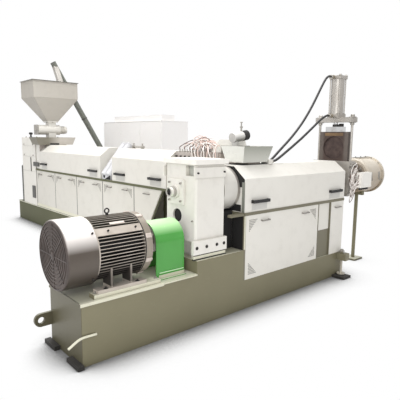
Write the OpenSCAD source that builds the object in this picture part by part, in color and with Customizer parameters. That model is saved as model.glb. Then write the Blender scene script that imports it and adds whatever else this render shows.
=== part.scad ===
// Two-stage plastic extruder. The first stage lies along Y and feeds the second stage, which lies along X.
// The origin is on the floor where the two screw axes cross in plan.

/* [Both stages] */
// Width of the bases, frames and hoods
body_w = 500; // [480:10:540]
// Thickness of the panels and doors
panel_t = 12; // [8:1:18]
// Thickness of the panels' folded sheet
sheet_t = 3; // [2:1:5]
// Width of the frame's posts and rails
post_w = 40; // [30:5:50]
// Height of the rail under the hoods
rail_h = 28; // [20:2:40]
// Overhang of the rails and of the deck plates
lip = 6; // [2:1:10]
// Gap beside panels and doors
seam = 4; // [2:1:8]
// Height of the hoods' upright sides
hood_side_h = 300; // [280:5:340]
// Rise of the hoods' sloped shoulders
hood_rise = 110; // [90:5:130]
// Width of the hoods' flat tops
hood_flat_w = 220; // [200:10:260]
// Wall thickness of the hoods
hood_t = 5; // [3:1:8]
// Outside diameter of the barrels
barrel_d = 150; // [130:5:165]
// Outside diameter of the heater bands
band_d = 196; // [180:4:220]
// Height of the screw axis above the rail
axis_h = 205; // [195:5:220]

/* [Second stage] */
// Distance from the feed axis to the motor end of the base
motor_end = 1870; // [1840:10:1960]
// Distance from the feed axis to the step in the base
step_run = 850; // [845:5:870]
// Distance from the feed axis to the near end of the hood
hood_start = 300; // [290:5:310]
// Distance from the feed axis to the die end of the frame
second_end = 1350; // [1330:5:1380]
// Height of the deck that carries the motor
deck_z = 450; // [430:5:470]
// Height of the deck that carries the gearbox
plinth_z = 555; // [535:5:575]
// Height of the base under the panels
sill_z = 275; // [240:5:300]
// Height of the rail's top
rail_z = 895; // [880:5:910]
// Thickness of the deck plate
deck_t = 14; // [8:1:20]
// End of the large panel
large_panel_end = 848; // [800:4:900]
// Width of the narrow bay beside the large panel
narrow_bay_w = 244; // [200:4:280]
// Height of the narrow panel's lower edge
narrow_panel_z = 575; // [500:5:650]

/* [Motor] */
// Height of the motor's axis
motor_z = 740; // [730:5:760]
// Outside diameter of the fan cowl
cowl_d = 494; // [470:2:510]
// Length of the fan cowl
cowl_l = 223; // [200:1:280]
// Length of the finned frame
frame_l = 380; // [360:5:410]
// Length of the drive end shield
shield_l = 99; // [80:1:110]
// Overhang of the fan cowl past the base
cowl_overhang = 75; // [60:5:90]
// Diameter of the frame between the fins
core_d = 390; // [360:5:410]
// Diameter over the fins
fin_d = 476; // [450:2:486]
// Thickness of a fin
fin_t = 5; // [4:1:6]
// Angle between two fins
fin_pitch = 6; // [6:1:10]
// Height of the motor rails
motor_rail_h = 30; // [20:2:40]

/* [Gearbox] */
// Width of the gearbox along the screw
gearbox_w = 333; // [320:1:345]
// Depth of the gearbox across the screw
gearbox_d = 400; // [380:5:420]
// Height of the top of the gearbox cap
gearbox_top = 1375; // [1360:5:1400]
// Thickness of the gearbox cap
cap_t = 40; // [30:2:50]
// Diameter of the thrust drum
drum_d = 390; // [380:5:400]
// Length of the thrust drum
drum_l = 187; // [172:1:197]
// Gap from the thrust drum to the hood
drum_gap = 8; // [6:1:26]
// Height of the foot plates
foot_plate_h = 112; // [90:2:130]
// Side of the square pipe flange
flange_w = 210; // [180:5:240]
// Outside diameter of the pipe stub
stub_d = 76; // [60:2:90]

/* [Screen changer] */
// Distance from the feed axis to the middle of the slide
changer_x = 1510; // [1490:5:1540]
// Thickness of the slide
slide_t = 56; // [50:1:60]
// Width of the slide
slide_w = 370; // [360:2:380]
// Running gap round the slide
slide_gap = 6; // [5:0.5:8]
// Travel of the slide between its two screens
slide_travel = 350; // [336:2:352]
// Diameter of a screen
screen_d = 270; // [220:5:280]
// Height of the changer's body
changer_h = 400; // [380:5:410]
// Diameter of a column
column_d = 28; // [24:1:32]
// Height of the underside of the crosshead
crosshead_z = 1745; // [1730:5:1760]
// Thickness of the crosshead
crosshead_t = 55; // [45:1:65]
// Outside diameter of the hydraulic cylinder
cylinder_d = 146; // [140:2:156]
// Length of the hydraulic cylinder between its flanges
cylinder_l = 400; // [396:2:420]
// Diameter of the piston rod
rod_d = 50; // [40:2:60]

/* [Pelletizer] */
// Distance from the feed axis to the hood's near end
pellet_x = 1960; // [1940:5:1980]
// Length of the cutter hood
pellet_l = 400; // [350:10:450]
// Diameter of the cutter hood
pellet_d = 430; // [405:5:455]
// Diameter of the stand's post
stand_d = 44; // [36:2:56]

/* [First stage] */
// Height of the first stage above the second
first_rise = 95; // [90:5:105]
// Height of the first stage's base
first_sill = 340; // [320:5:360]
// Distance from the second axis to the far end of the base
first_end = 5610; // [5560:10:5700]
// Distance from the second axis to the near end of the near hood
near_hood_y = 970; // [950:10:990]
// Length of the near hood
near_hood_l = 1150; // [1130:10:1160]
// Width of the gap for the vent chute
vent_gap = 310; // [300:10:320]
// Length of the far hood
far_hood_l = 2100; // [2080:10:2110]
// Distance from the second axis to the first whole door
door_y = 1610; // [1590:10:1630]
// Pitch of the doors
door_pitch = 770; // [760:5:775]
// Number of whole doors on each side
door_count = 4; // [4:1:4]
// Distance by which the frame's near end leans out over its foot
near_lean = 367; // [340:1:390]
// Length of the feed block
feed_l = 150; // [130:5:155]
// Length of the first gearbox
first_gearbox_l = 620; // [600:10:640]
// Height of the first gearbox's top
first_gearbox_top = 1522; // [1500:2:1550]

/* [Hopper and feeder] */
// Width of the hopper across the screw
hopper_w = 760; // [700:10:780]
// Depth of the hopper along the screw
hopper_d = 540; // [500:10:580]
// Height of the hopper's rim
hopper_top = 2454; // [2420:2:2480]
// Height of the hopper's upright walls
hopper_wall_h = 275; // [240:5:300]
// Height of the hopper's outlet
outlet_z = 1800; // [1790:2:1820]
// Width of the hopper's outlet
outlet_w = 190; // [170:5:210]
// Wall thickness of the hopper
hopper_t = 4; // [3:1:8]
// Diameter of the feeder's drum
feeder_d = 165; // [150:5:170]
// Diameter of the loader's tube
loader_d = 100; // [90:2:110]
// Slope of the loader's tube above the floor
loader_slope = 59; // [57:1:61]

/* [Control cabinet] */
// Distance from the first axis to the cabinet's doors
cabinet_x = 1205; // [1150:5:1260]
// Gap between the cabinet's far end and the loader's bin
cabinet_gap = 14; // [10:1:40]
// Length of the cabinet
cabinet_l = 1900; // [1860:10:1920]
// Depth of the cabinet
cabinet_d = 560; // [500:10:600]
// Height of the cabinet's body
cabinet_h = 1820; // [1780:10:1860]
// Height of the box on the cabinet
cabinet_box_h = 100; // [80:5:120]

/* [Hidden] */
$fn = 64;

// A cut runs past the faces it opens by this much
over = 1;
// Running fit of round pieces, on the radius
fit = 0.3;

hw = body_w / 2;
panel_top = rail_z - rail_h;
axis_z = rail_z + axis_h;
hood_h = hood_side_h + hood_rise;
hood_top = rail_z + hood_h;
frame_x = -hood_start;
step_x = -step_run;
base_x = -motor_end;

// Colours
off_white = [0.87, 0.86, 0.82];
olive = [0.50, 0.48, 0.38];
steel_grey = [0.62, 0.60, 0.58];
dark_grey = [0.22, 0.21, 0.21];
black = [0.05, 0.05, 0.05];
guard_green = [0.37, 0.70, 0.33];
beige = [0.76, 0.70, 0.60];
cast_grey = [0.53, 0.49, 0.46];

// Extrudes an outline of Y and Z along X
module along_x(length, outline) {
    rotate([90, 0, 90])
        linear_extrude(length)
            polygon(outline);
}

// Extrudes an outline of X and Z across Y, centred on Y = 0
module across_y(width, outline) {
    translate([0, width / 2, 0])
        rotate([90, 0, 0])
            linear_extrude(width)
                polygon(outline);
}

// Turns a piece made along X so that it lies along Y
module turn_to_first_stage() {
    rotate([0, 0, 90])
        children();
}

// A block from one corner to the opposite one
module block(low, high) {
    translate(low)
        cube(high - low);
}

// A cylinder along X
module rod_x(x0, x1, d) {
    translate([x0, 0, 0])
        rotate([0, 90, 0])
            cylinder(d = d, h = x1 - x0);
}

// Draws its children on both sides of the XZ plane
module both_sides() {
    children();
    mirror([0, 1, 0])
        children();
}

// Hood outline; the inner one is set in by the wall
shoulder = (body_w - hood_flat_w) / 2;
slope = atan(hood_rise / shoulder);
function hood_outline(inset) =
    let (
        half = hw - inset,
        foot = inset > 0 ? -over : 0,
        side = hood_side_h - inset * (1 / cos(slope) - tan(slope)),
        top = hood_h - inset,
        flat = hw - (hood_rise - inset + inset / cos(slope)) / tan(slope)
    )
    [[-half, foot], [half, foot], [half, side], [flat, top], [-flat, top], [-half, side]];

// A sheet hood along X with slots in its ends for the barrel
slot_clear = 12;
slot_d = barrel_d + 2 * slot_clear;
module hood(length) {
    difference() {
        along_x(length, hood_outline(0));
        translate([hood_t, 0, 0])
            along_x(length - 2 * hood_t, hood_outline(hood_t));
        translate([0, 0, axis_h])
            rod_x(-over, length + over, slot_d);
        block([-over, -slot_d / 2, -over], [length + over, slot_d / 2, axis_h]);
    }
}

// A folded sheet panel in the XZ plane whose outer face is at Y = 0 and whose back is open
module panel(low, high) {
    difference() {
        block([low[0], 0, low[1]], [high[0], panel_t, high[1]]);
        block(
            [low[0] + sheet_t, sheet_t, low[1] + sheet_t],
            [high[0] - sheet_t, panel_t + over, high[1] - sheet_t]
        );
    }
}

// A barrel along X with heater bands
band_l = 180;
band_pitch = 220;
module banded_barrel(x0, x1, band_x, band_count) {
    rod_x(x0, x1, barrel_d);
    for (i = [0 : band_count - 1])
        rod_x(band_x + i * band_pitch, band_x + i * band_pitch + band_l, band_d);
}

// An open box that widens upwards
module flared_box(bottom, top, height, wall) {
    slab = 0.01;
    difference() {
        hull() {
            translate([-bottom[0] / 2, -bottom[1] / 2, 0])
                cube([bottom[0], bottom[1], slab]);
            translate([-top[0] / 2, -top[1] / 2, height - slab])
                cube([top[0], top[1], slab]);
        }
        hull() {
            translate([-bottom[0] / 2 + wall, -bottom[1] / 2 + wall, wall])
                cube([bottom[0] - 2 * wall, bottom[1] - 2 * wall, slab]);
            translate([-top[0] / 2 + wall, -top[1] / 2 + wall, height])
                cube([top[0] - 2 * wall, top[1] - 2 * wall, slab]);
        }
    }
}

// Second stage

module second_base() {
    color(olive) {
        across_y(body_w, [
            [base_x, 0], [second_end, 0], [second_end, sill_z], [frame_x, sill_z], [frame_x, plinth_z],
            [step_x, plinth_z], [step_x, deck_z], [base_x, deck_z]
        ]);
        block([base_x - lip, -hw - lip, deck_z - deck_t], [step_x, hw + lip, deck_z]);
        both_sides()
            block(
                [motor_x0 - post_w, -motor_rail_y - motor_rail_w / 2, deck_z],
                [motor_x1 + motor_rail_over, -motor_rail_y + motor_rail_w / 2, motor_rail_z]
            );
    }
}

bay_x0 = large_panel_end + seam;
bay_x1 = bay_x0 + narrow_bay_w;
bay_post_w = 12;
bay_setback = 14;
support_x = [400, 1060];
support_t = 20;

module second_frame() {
    color(olive) {
        both_sides() {
            block([frame_x, -hw, sill_z], [frame_x + post_w / 2, -hw + post_w, panel_top]);
            block([bay_x0, -hw, sill_z], [bay_x0 + bay_post_w, -hw + post_w, panel_top]);
            block([bay_x1 - bay_post_w, -hw, sill_z], [bay_x1, -hw + post_w, panel_top]);
            block([second_end - post_w, -hw + panel_t, sill_z], [second_end, -hw + post_w, panel_top]);
            block([frame_x, -hw - lip, panel_top], [second_end, -hw + post_w, rail_z]);
            block(
                [bay_x0 + bay_post_w, -hw + bay_setback, sill_z],
                [bay_x1 - bay_post_w, -hw + post_w, narrow_panel_z - seam]
            );
        }
        for (x = [frame_x, second_end - post_w])
            block([x, -hw + post_w, panel_top], [x + post_w, hw - post_w, rail_z]);
        for (x = support_x)
            block([x - post_w / 2, -hw + post_w, panel_top], [x + post_w / 2, hw - post_w, rail_z]);
    }
}

module second_side_panels() {
    translate([0, -hw, 0]) {
        panel([frame_x + post_w / 2 + seam, sill_z], [large_panel_end, panel_top]);
        panel([bay_x1 + seam, sill_z], [second_end, panel_top]);
    }
    translate([0, -hw + bay_setback, 0])
        panel([bay_x0 + bay_post_w + seam, narrow_panel_z], [bay_x1 - bay_post_w - seam, panel_top]);
}

module second_panels() {
    color(off_white)
        both_sides()
            second_side_panels();
}

second_band_x = 200;
second_band_count = 5;
feed_block_w = 170;
feed_block_d = 160;
feed_mouth = [110, 90];
tray_lift = 22;
tray_z = hood_top + tray_lift;
tray_x = -15;
tray_bottom = [340, 220];
tray_top = [400, 300];
tray_h = 150;
tray_t = 4;

module second_cover() {
    color(off_white)
        difference() {
            translate([frame_x, 0, rail_z])
                hood(second_end - frame_x);
            block(
                [-feed_block_w / 2 - seam, -feed_block_d / 2 - seam, axis_z],
                [feed_block_w / 2 + seam, feed_block_d / 2 + seam, hood_top + over]
            );
        }
}

drum_x1 = frame_x - drum_gap;
changer_body_l = 140;
changer_x0 = changer_x - changer_body_l / 2;
changer_x1 = changer_x + changer_body_l / 2;

module second_barrel() {
    color(steel_grey) {
        difference() {
            union() {
                translate([0, 0, axis_z])
                    banded_barrel(drum_x1, changer_x0, second_band_x, second_band_count);
                block(
                    [-feed_block_w / 2, -feed_block_d / 2, axis_z - barrel_d / 2],
                    [feed_block_w / 2, feed_block_d / 2, tray_z]
                );
                for (x = support_x)
                    block(
                        [x - support_t / 2, -barrel_d / 2, rail_z],
                        [x + support_t / 2, barrel_d / 2, axis_z]
                    );
            }
            block(
                [-feed_mouth[0] / 2, -feed_mouth[1] / 2, axis_z + barrel_d / 4],
                [feed_mouth[0] / 2, feed_mouth[1] / 2, tray_z + over]
            );
        }
    }
}

module second_feed_tray() {
    color(off_white)
        difference() {
            translate([tray_x, 0, tray_z])
                flared_box(tray_bottom, tray_top, tray_h, tray_t);
            block(
                [-feed_mouth[0] / 2, -feed_mouth[1] / 2, tray_z - over],
                [feed_mouth[0] / 2, feed_mouth[1] / 2, tray_z + 2 * tray_t]
            );
        }
}

foot_arm = [80, 110, 80];
foot_arm_z = 190;
foot_inset = 60;
foot_screw_y = 50;
foot_screw_d = 26;
foot_disc_d = 90;
foot_disc_h = 18;
foot_pad = [150, 150, 25];
foot_pad_shift = 50;
end_pad = [45, 180, 30];
end_pad_out = 30;

// A bracket on the side of the base with a levelling screw, its disc and a pad
module levelling_foot() {
    color(olive)
        translate([-foot_arm[0] / 2, -foot_arm[1], foot_arm_z])
            cube(foot_arm);
    color(black)
        translate([-foot_pad[0] / 2 - foot_pad_shift, -foot_pad[1], 0])
            cube(foot_pad);
    color(steel_grey)
        translate([-foot_arm[0] / 4, -foot_screw_y, foot_pad[2]]) {
            cylinder(d = foot_disc_d, h = foot_disc_h);
            cylinder(d = foot_screw_d, h = foot_arm_z + foot_arm[2]);
        }
}

module levelling_feet() {
    both_sides() {
        translate([second_end - foot_inset + foot_arm[0] / 4, -hw, 0])
            levelling_foot();
        color(black)
            translate([base_x - end_pad[0], -hw - end_pad_out, 0])
                cube(end_pad);
    }
}

lug_t = 24;
lug_w = 100;
lug_reach = 85;
lug_hole = 50;
lug_z = 205;
lug_y = hw - 15;

module lifting_lug() {
    color(olive)
        translate([base_x, lug_y - lug_t / 2, lug_z])
            rotate([-90, 0, 0])
                difference() {
                    union() {
                        translate([-lug_reach, 0, 0])
                            cylinder(d = lug_w, h = lug_t);
                        block([-lug_reach, -lug_w / 2, 0], [0, lug_w / 2, lug_t]);
                    }
                    translate([-lug_reach, 0, -over])
                        cylinder(d = lug_hole, h = lug_t + 2 * over);
                }
}

// Drive

cowl_x = base_x - cowl_overhang;
motor_x0 = cowl_x + cowl_l;
motor_x1 = motor_x0 + frame_l;
shield_x = motor_x1 + shield_l;
motor_rail_w = 70;
motor_rail_y = 195;
motor_rail_over = 140;
motor_rail_z = deck_z + motor_rail_h;
motor_foot_t = 24;
motor_foot_l = 400;
motor_foot_x = (motor_x0 + motor_x1) / 2;
gusset_t = 14;
gusset_at = 80;

// Fins stand all round but between the feet and at the smooth bands, by angle from below
foot_angle = 38;
band_angle = 132;
band_half_angle = 10;
function is_finned(a) = abs(a) > foot_angle && abs(abs(a) - band_angle) > band_half_angle;
band_w = 62;
fin_root = core_d / 2 - 12;
cowl_t = 4;
spigot_l = 12;

module motor_frame() {
    color(cast_grey) {
        translate([0, 0, motor_z]) {
            rod_x(motor_x0, motor_x1, core_d);
            rod_x(motor_x0 - spigot_l, motor_x0 + spigot_l, cowl_d - 2 * cowl_t - 2 * fit);
            for (a = [-180 : fin_pitch : 179])
                if (is_finned(a))
                    rotate([a, 0, 0])
                        block([motor_x0, -fin_t / 2, -fin_d / 2], [motor_x1, fin_t / 2, -fin_root]);
            for (a = [-band_angle, band_angle])
                rotate([a, 0, 0])
                    block([motor_x0, -band_w / 2, -fin_d / 2], [motor_x1, band_w / 2, -fin_root]);
        }
        both_sides() {
            translate([motor_foot_x, -motor_rail_y, motor_rail_z])
                block(
                    [-motor_foot_l / 2, -motor_rail_w / 2, 0],
                    [motor_foot_l / 2, motor_rail_w / 2, motor_foot_t]
                );
            for (x = [-gusset_at, gusset_at])
                block(
                    [motor_foot_x + x - gusset_t / 2, -motor_rail_y - motor_rail_w / 4, motor_rail_z],
                    [motor_foot_x + x + gusset_t / 2, -core_d / 4, motor_z - core_d / 4]
                );
        }
    }
}

cowl_round = 18;
grille_rings = 8;
grille_bar = 7;

module motor_fan_cowl() {
    grille_r = cowl_d / 2 - cowl_round;
    ring_pitch = grille_r / (grille_rings + 1);
    color(cast_grey)
        translate([cowl_x, 0, motor_z])
            rotate([0, 90, 0]) {
                rotate_extrude()
                    difference() {
                        union() {
                            translate([0, cowl_round])
                                square([cowl_d / 2, cowl_l - cowl_round]);
                            square([grille_r, cowl_l]);
                            translate([grille_r, cowl_round])
                                circle(r = cowl_round);
                        }
                        translate([-over, cowl_round])
                            square([cowl_d / 2 - cowl_t + over, cowl_l]);
                        translate([grille_r, cowl_round])
                            circle(r = cowl_round - cowl_t);
                        translate([-over, -over])
                            square([grille_r + over, cowl_l]);
                    }
                for (i = [1 : grille_rings])
                    rotate_extrude()
                        translate([i * ring_pitch - grille_bar / 2, 0])
                            square([grille_bar, cowl_t]);
                cylinder(d = ring_pitch, h = cowl_t);
                for (a = [0 : 45 : 359])
                    rotate([0, 0, a])
                        translate([0, -grille_bar / 2, 0])
                            cube([grille_r + cowl_t, grille_bar, cowl_t]);
            }
}

shaft_d = 80;
coupling_d = 210;
coupling_l = 90;

module motor_end_shield() {
    color(cast_grey)
        translate([motor_x1, 0, motor_z])
            rotate([0, 90, 0])
                rotate_extrude()
                    polygon([
                        [0, 0], [fin_d / 2, 0], [fin_d / 2, shield_l * 2 / 3], [core_d / 2, shield_l * 3 / 4],
                        [core_d / 3, shield_l * 4 / 5], [shaft_d, shield_l * 5 / 6], [shaft_d, shield_l],
                        [0, shield_l]
                    ]);
}

eye_inset = 198;
eye_x = motor_x0 + eye_inset;
eye_d = 46;
eye_bar = 11;

module motor_lifting_eye() {
    color(dark_grey)
        translate([eye_x, 0, motor_z + fin_d / 2]) {
            cylinder(d = eye_bar * 2, h = eye_bar);
            translate([0, 0, eye_bar + eye_d / 2 - eye_bar / 4])
                rotate([0, 90, 90])
                    rotate_extrude()
                        translate([eye_d / 2 - eye_bar / 2, 0])
                            circle(d = eye_bar);
        }
}

guard_w = 320;
guard_l = 255;
guard_t = 5;
guard_gap = 73;
guard_x0 = shield_x + guard_gap;
guard_z = 730;
guard_flange = 30;

module coupling_guard() {
    r = guard_w / 2;
    color(guard_green)
        translate([guard_x0, 0, 0]) {
            difference() {
                union() {
                    translate([0, 0, guard_z])
                        rod_x(0, guard_l, guard_w);
                    block([0, -r, deck_z], [guard_l, r, guard_z]);
                }
                translate([0, 0, guard_z])
                    rod_x(-over, guard_l + over, guard_w - 2 * guard_t);
                block([-over, -r + guard_t, deck_z - over], [guard_l + over, r - guard_t, guard_z]);
            }
            both_sides()
                block([0, -r - guard_flange, deck_z], [guard_l, -r, deck_z + guard_t]);
        }
}

gearbox_x1 = drum_x1 - drum_l;
gearbox_x0 = gearbox_x1 - gearbox_w;

module drive_coupling() {
    middle = guard_x0 + guard_l / 2;
    color(steel_grey)
        translate([0, 0, motor_z]) {
            rod_x(shield_x, gearbox_x0, shaft_d);
            rod_x(middle - coupling_l, middle - fit, coupling_d);
            rod_x(middle + fit, middle + coupling_l, coupling_d);
        }
}

// Gearbox

cap_z = gearbox_top - cap_t;
gearbox_edge = 16;
flange_y = 40;
port_d = 116;
port_z = 895;
port_depth = 60;
pocket = [40, 100, 85];
pocket_inset = [30, 10];
band_plate_h = 85;
band_plate_drop = 24;
plate_t = 14;
band_plate_over = 24;
foot_plate_over = 44;
foot_plate_lift = 45;
undercut = [60, 300, 140];

// Bolted plates on both sides of the gearbox
module gearbox_plates() {
    both_sides() {
        block(
            [gearbox_x0 - band_plate_over, -gearbox_d / 2 - plate_t, cap_z - band_plate_drop - band_plate_h],
            [gearbox_x1 - gearbox_edge, -gearbox_d / 2, cap_z - band_plate_drop]
        );
        block(
            [gearbox_x0 - foot_plate_over, -gearbox_d / 2 - 2 * plate_t, plinth_z + foot_plate_lift],
            [gearbox_x1, -gearbox_d / 2, plinth_z + foot_plate_lift + foot_plate_h]
        );
    }
}

module gearbox_housing() {
    gd = gearbox_d / 2;
    color(off_white) {
        gearbox_plates();
        difference() {
            translate([0, 0, plinth_z])
                linear_extrude(cap_z - plinth_z)
                    polygon([
                        [gearbox_x0, -gd + gearbox_edge], [gearbox_x0 + gearbox_edge, -gd],
                        [gearbox_x1 - gearbox_edge, -gd], [gearbox_x1, -gd + gearbox_edge],
                        [gearbox_x1, gd - gearbox_edge], [gearbox_x1 - gearbox_edge, gd],
                        [gearbox_x0 + gearbox_edge, gd], [gearbox_x0, gd - gearbox_edge]
                    ]);
            translate([0, flange_y, port_z])
                rod_x(gearbox_x0 - over, gearbox_x0 + port_depth, port_d);
            translate([gearbox_x0, -gd + pocket_inset[0], cap_z - pocket_inset[1]])
                block([-over, 0, -pocket[2]], [pocket[0], pocket[1], 0]);
            block(
                [gearbox_x0 - over, -undercut[1] / 2, plinth_z - over],
                [gearbox_x0 + undercut[0], undercut[1] / 2, plinth_z + undercut[2]]
            );
        }
    }
}

cap_lip = 18;

module gearbox_cap() {
    color(off_white)
        difference() {
            translate([gearbox_x0 - cap_lip, -gearbox_d / 2 - cap_lip, cap_z])
                cube([gearbox_w + 2 * cap_lip, gearbox_d + 2 * cap_lip, cap_t]);
            both_sides()
                translate([gearbox_x0 - cap_lip - over, -gearbox_d / 2 - cap_lip, gearbox_top])
                    rotate([45, 0, 0])
                        cube([gearbox_w + 2 * cap_lip + 2 * over, gearbox_edge, gearbox_edge * 2]);
        }
}

flange_t = 22;
stub_l = 72;
stub_t = 8;

module gearbox_pipe_flange() {
    color(off_white)
        translate([gearbox_x0, flange_y, axis_z])
            difference() {
                union() {
                    block([-flange_t, -flange_w / 2, -flange_w / 2], [0, flange_w / 2, flange_w / 2]);
                    rod_x(-flange_t * 2, 0, stub_d * 1.5);
                    rod_x(-flange_t - stub_l, 0, stub_d);
                }
                rod_x(-flange_t - stub_l - over, -flange_t, stub_d - 2 * stub_t);
            }
}

drum_edge = 14;

module thrust_drum() {
    color(off_white)
        translate([gearbox_x1, 0, axis_z])
            rotate([0, 90, 0])
                rotate_extrude()
                    polygon([
                        [0, 0], [drum_d / 2, 0], [drum_d / 2, drum_l - drum_edge * 2],
                        [drum_d / 2 - drum_edge, drum_l - drum_edge], [drum_d / 2 - drum_edge, drum_l],
                        [0, drum_l]
                    ]);
}

// Screen changer

column_clear = 10;
column_edge = 15;
column_gap = slide_w + 2 * column_clear + column_d;
changer_w = column_gap + column_d + 2 * column_edge;
changer_z0 = axis_z - changer_h / 2;
changer_z1 = axis_z + changer_h / 2;
slide_margin = 51;
slide_top = axis_z + slide_travel + screen_d / 2 + slide_margin;
slide_z = axis_z - screen_d / 2 - slide_margin;
screen_depth = 10;
melt_d = 110;

module changer_body() {
    color(steel_grey)
        difference() {
            block([changer_x0, -changer_w / 2, changer_z0], [changer_x1, changer_w / 2, changer_z1]);
            block(
                [changer_x - slide_t / 2 - slide_gap, -slide_w / 2 - slide_gap, changer_z0 - over],
                [changer_x + slide_t / 2 + slide_gap, slide_w / 2 + slide_gap, changer_z1 + over]
            );
            translate([0, 0, axis_z])
                rod_x(changer_x0 - over, changer_x1 + over, melt_d);
        }
}

crosshead_end = 22;
crosshead_w = column_gap + 2 * crosshead_end;
cylinder_z = crosshead_z + crosshead_t;
flange_side = 150;
end_flange_t = 36;
piston_d = cylinder_d - 30;
cylinder_top = cylinder_z + end_flange_t + cylinder_l;
tie_rod_d = 14;
tie_rod_at = flange_side / 2 - tie_rod_d;

module changer_yoke() {
    color(steel_grey) {
        both_sides()
            translate([changer_x, -column_gap / 2, changer_z1])
                cylinder(d = column_d, h = crosshead_z - changer_z1);
        difference() {
            block(
                [changer_x0, -crosshead_w / 2, crosshead_z],
                [changer_x1, crosshead_w / 2, crosshead_z + crosshead_t]
            );
            translate([changer_x, 0, crosshead_z - over])
                cylinder(d = rod_d + 2 * fit, h = crosshead_t + 2 * over);
        }
    }
}

module square_flange(z) {
    translate([changer_x - flange_side / 2, -flange_side / 2, z])
        cube([flange_side, flange_side, end_flange_t]);
}

port_boss = 34;
port_reach = 130;

module hydraulic_cylinder() {
    color(steel_grey)
        difference() {
            union() {
                square_flange(cylinder_z);
                square_flange(cylinder_top);
                translate([changer_x, 0, cylinder_z])
                    cylinder(d = cylinder_d, h = end_flange_t + cylinder_l);
                for (x = [-1, 1], y = [-1, 1])
                    translate([changer_x + x * tie_rod_at, y * tie_rod_at, cylinder_z])
                        cylinder(d = tie_rod_d, h = cylinder_l + 2 * end_flange_t + tie_rod_d);
                for (z = [cylinder_z, cylinder_top])
                    translate([0, 0, z + end_flange_t / 2])
                        rod_x(changer_x - port_reach, changer_x - flange_side / 2, port_boss);
            }
            translate([changer_x, 0, cylinder_z + end_flange_t])
                cylinder(d = piston_d, h = cylinder_l);
            translate([changer_x, 0, cylinder_z - over])
                cylinder(d = rod_d + 2 * fit, h = end_flange_t + 2 * over);
        }
}

clevis_w = 230;
clevis_h = 58;
piston_h = 36;
piston_rest = 6;

module piston_rod() {
    piston_z = cylinder_top - piston_rest - piston_h;
    color(steel_grey)
        translate([changer_x, 0, 0]) {
            block(
                [-slide_t / 2, -clevis_w / 2, slide_top],
                [slide_t / 2, clevis_w / 2, slide_top + clevis_h]
            );
            translate([0, 0, slide_top + clevis_h])
                cylinder(d = rod_d, h = piston_z - slide_top - clevis_h);
            translate([0, 0, piston_z])
                cylinder(d = piston_d - 2 * fit, h = piston_h);
        }
}

module screen_slide() {
    color(dark_grey)
        difference() {
            block(
                [changer_x - slide_t / 2, -slide_w / 2, slide_z],
                [changer_x + slide_t / 2, slide_w / 2, slide_top]
            );
            for (z = [0, slide_travel])
                translate([0, 0, axis_z + z]) {
                    rod_x(changer_x - slide_t, changer_x + slide_t, melt_d);
                    rod_x(changer_x - slide_t, changer_x - slide_t / 2 + screen_depth, screen_d);
                }
        }
}

// Die and pelletizer

die_block_l = 150;
die_block_w = 300;
die_x1 = changer_x1 + die_block_l;
die_d = 250;
die_plate_t = 40;
die_plate_d = 330;

module die_head() {
    half = die_block_w / 2;
    color(steel_grey)
        translate([0, 0, axis_z]) {
            block([changer_x1, -half, -half], [die_x1, half, half]);
            rod_x(die_x1, pellet_x - die_plate_t, die_d);
            rod_x(pellet_x - die_plate_t, pellet_x, die_plate_d);
        }
}

box_size = [240, 60, 175];
box_out = 180;
box_back = 15;
box_drop = 103;
box_low = [changer_x1 - box_back, -die_block_w / 2 - box_out, axis_z - box_drop];
box_arm_t = 12;
box_arm_w = 60;

module junction_box() {
    color(off_white) {
        translate(box_low)
            cube(box_size);
        block(
            [die_x1 - box_arm_w - box_arm_t, box_low[1] + box_size[1], axis_z - box_arm_w],
            [die_x1 - box_arm_t, -die_block_w / 2, axis_z - box_arm_w + box_arm_t]
        );
    }
}

rim_w = 18;
rim_l = 30;
strip_w = 90;
strip_t = 8;

module pelletizer_hood() {
    r = pellet_d / 2;
    color(beige)
        translate([pellet_x, 0, axis_z]) {
            rotate([0, 90, 0])
                rotate_extrude()
                    polygon([
                        [0, 0], [r - rim_w, 0], [r, rim_w], [r, pellet_l - 2 * rim_l],
                        [r + rim_w, pellet_l - 2 * rim_l], [r + rim_w, pellet_l - rim_l],
                        [r, pellet_l - rim_l], [r - 2 * rim_w, pellet_l], [0, pellet_l]
                    ]);
            difference() {
                block([rim_w, -strip_w / 2, r - strip_t], [pellet_l - 2 * rim_l, strip_w / 2, r + strip_t]);
                rod_x(0, pellet_l, pellet_d - strip_t);
            }
        }
}

stand_inset = 130;
stand_x = pellet_x + stand_inset;
stand_foot = [200, 160, 20];
saddle_h = 70;
saddle_w = 180;

module pelletizer_stand() {
    saddle_top = axis_z - pellet_d / 2 + saddle_h / 2;
    color(olive)
        translate([stand_x, 0, 0]) {
            translate([-stand_foot[0] / 2, -stand_foot[1] / 2, 0])
                cube(stand_foot);
            cylinder(d = stand_d, h = saddle_top - saddle_h);
            difference() {
                block(
                    [-stand_d / 2, -saddle_w / 2, saddle_top - saddle_h],
                    [stand_d / 2, saddle_w / 2, saddle_top]
                );
                translate([0, 0, axis_z])
                    rod_x(-stand_d, stand_d, pellet_d + 2 * fit);
            }
        }
}

// First stage

first_rail_z = rail_z + first_rise;
first_panel_top = first_rail_z - rail_h;
first_axis_z = first_rail_z + axis_h;
first_hood_top = first_rail_z + hood_h;
far_hood_y = near_hood_y + near_hood_l + vent_gap;
far_hood_end = far_hood_y + far_hood_l;
feed_clear = 6;
frame_end = far_hood_end + seam + feed_l + feed_clear;
near_panel_l = 190;
near_foot_y = door_y - near_panel_l;
near_top_y = near_foot_y - near_lean;
gearbox_y0 = frame_end + post_w / 2 + seam;
gearbox_y1 = gearbox_y0 + first_gearbox_l;

module first_base() {
    color(olive) {
        block([-hw, near_foot_y, 0], [hw, first_end, first_sill]);
        block([-hw - lip, near_foot_y - lip, first_sill - deck_t], [hw + lip, first_end + lip, first_sill]);
    }
}

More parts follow.
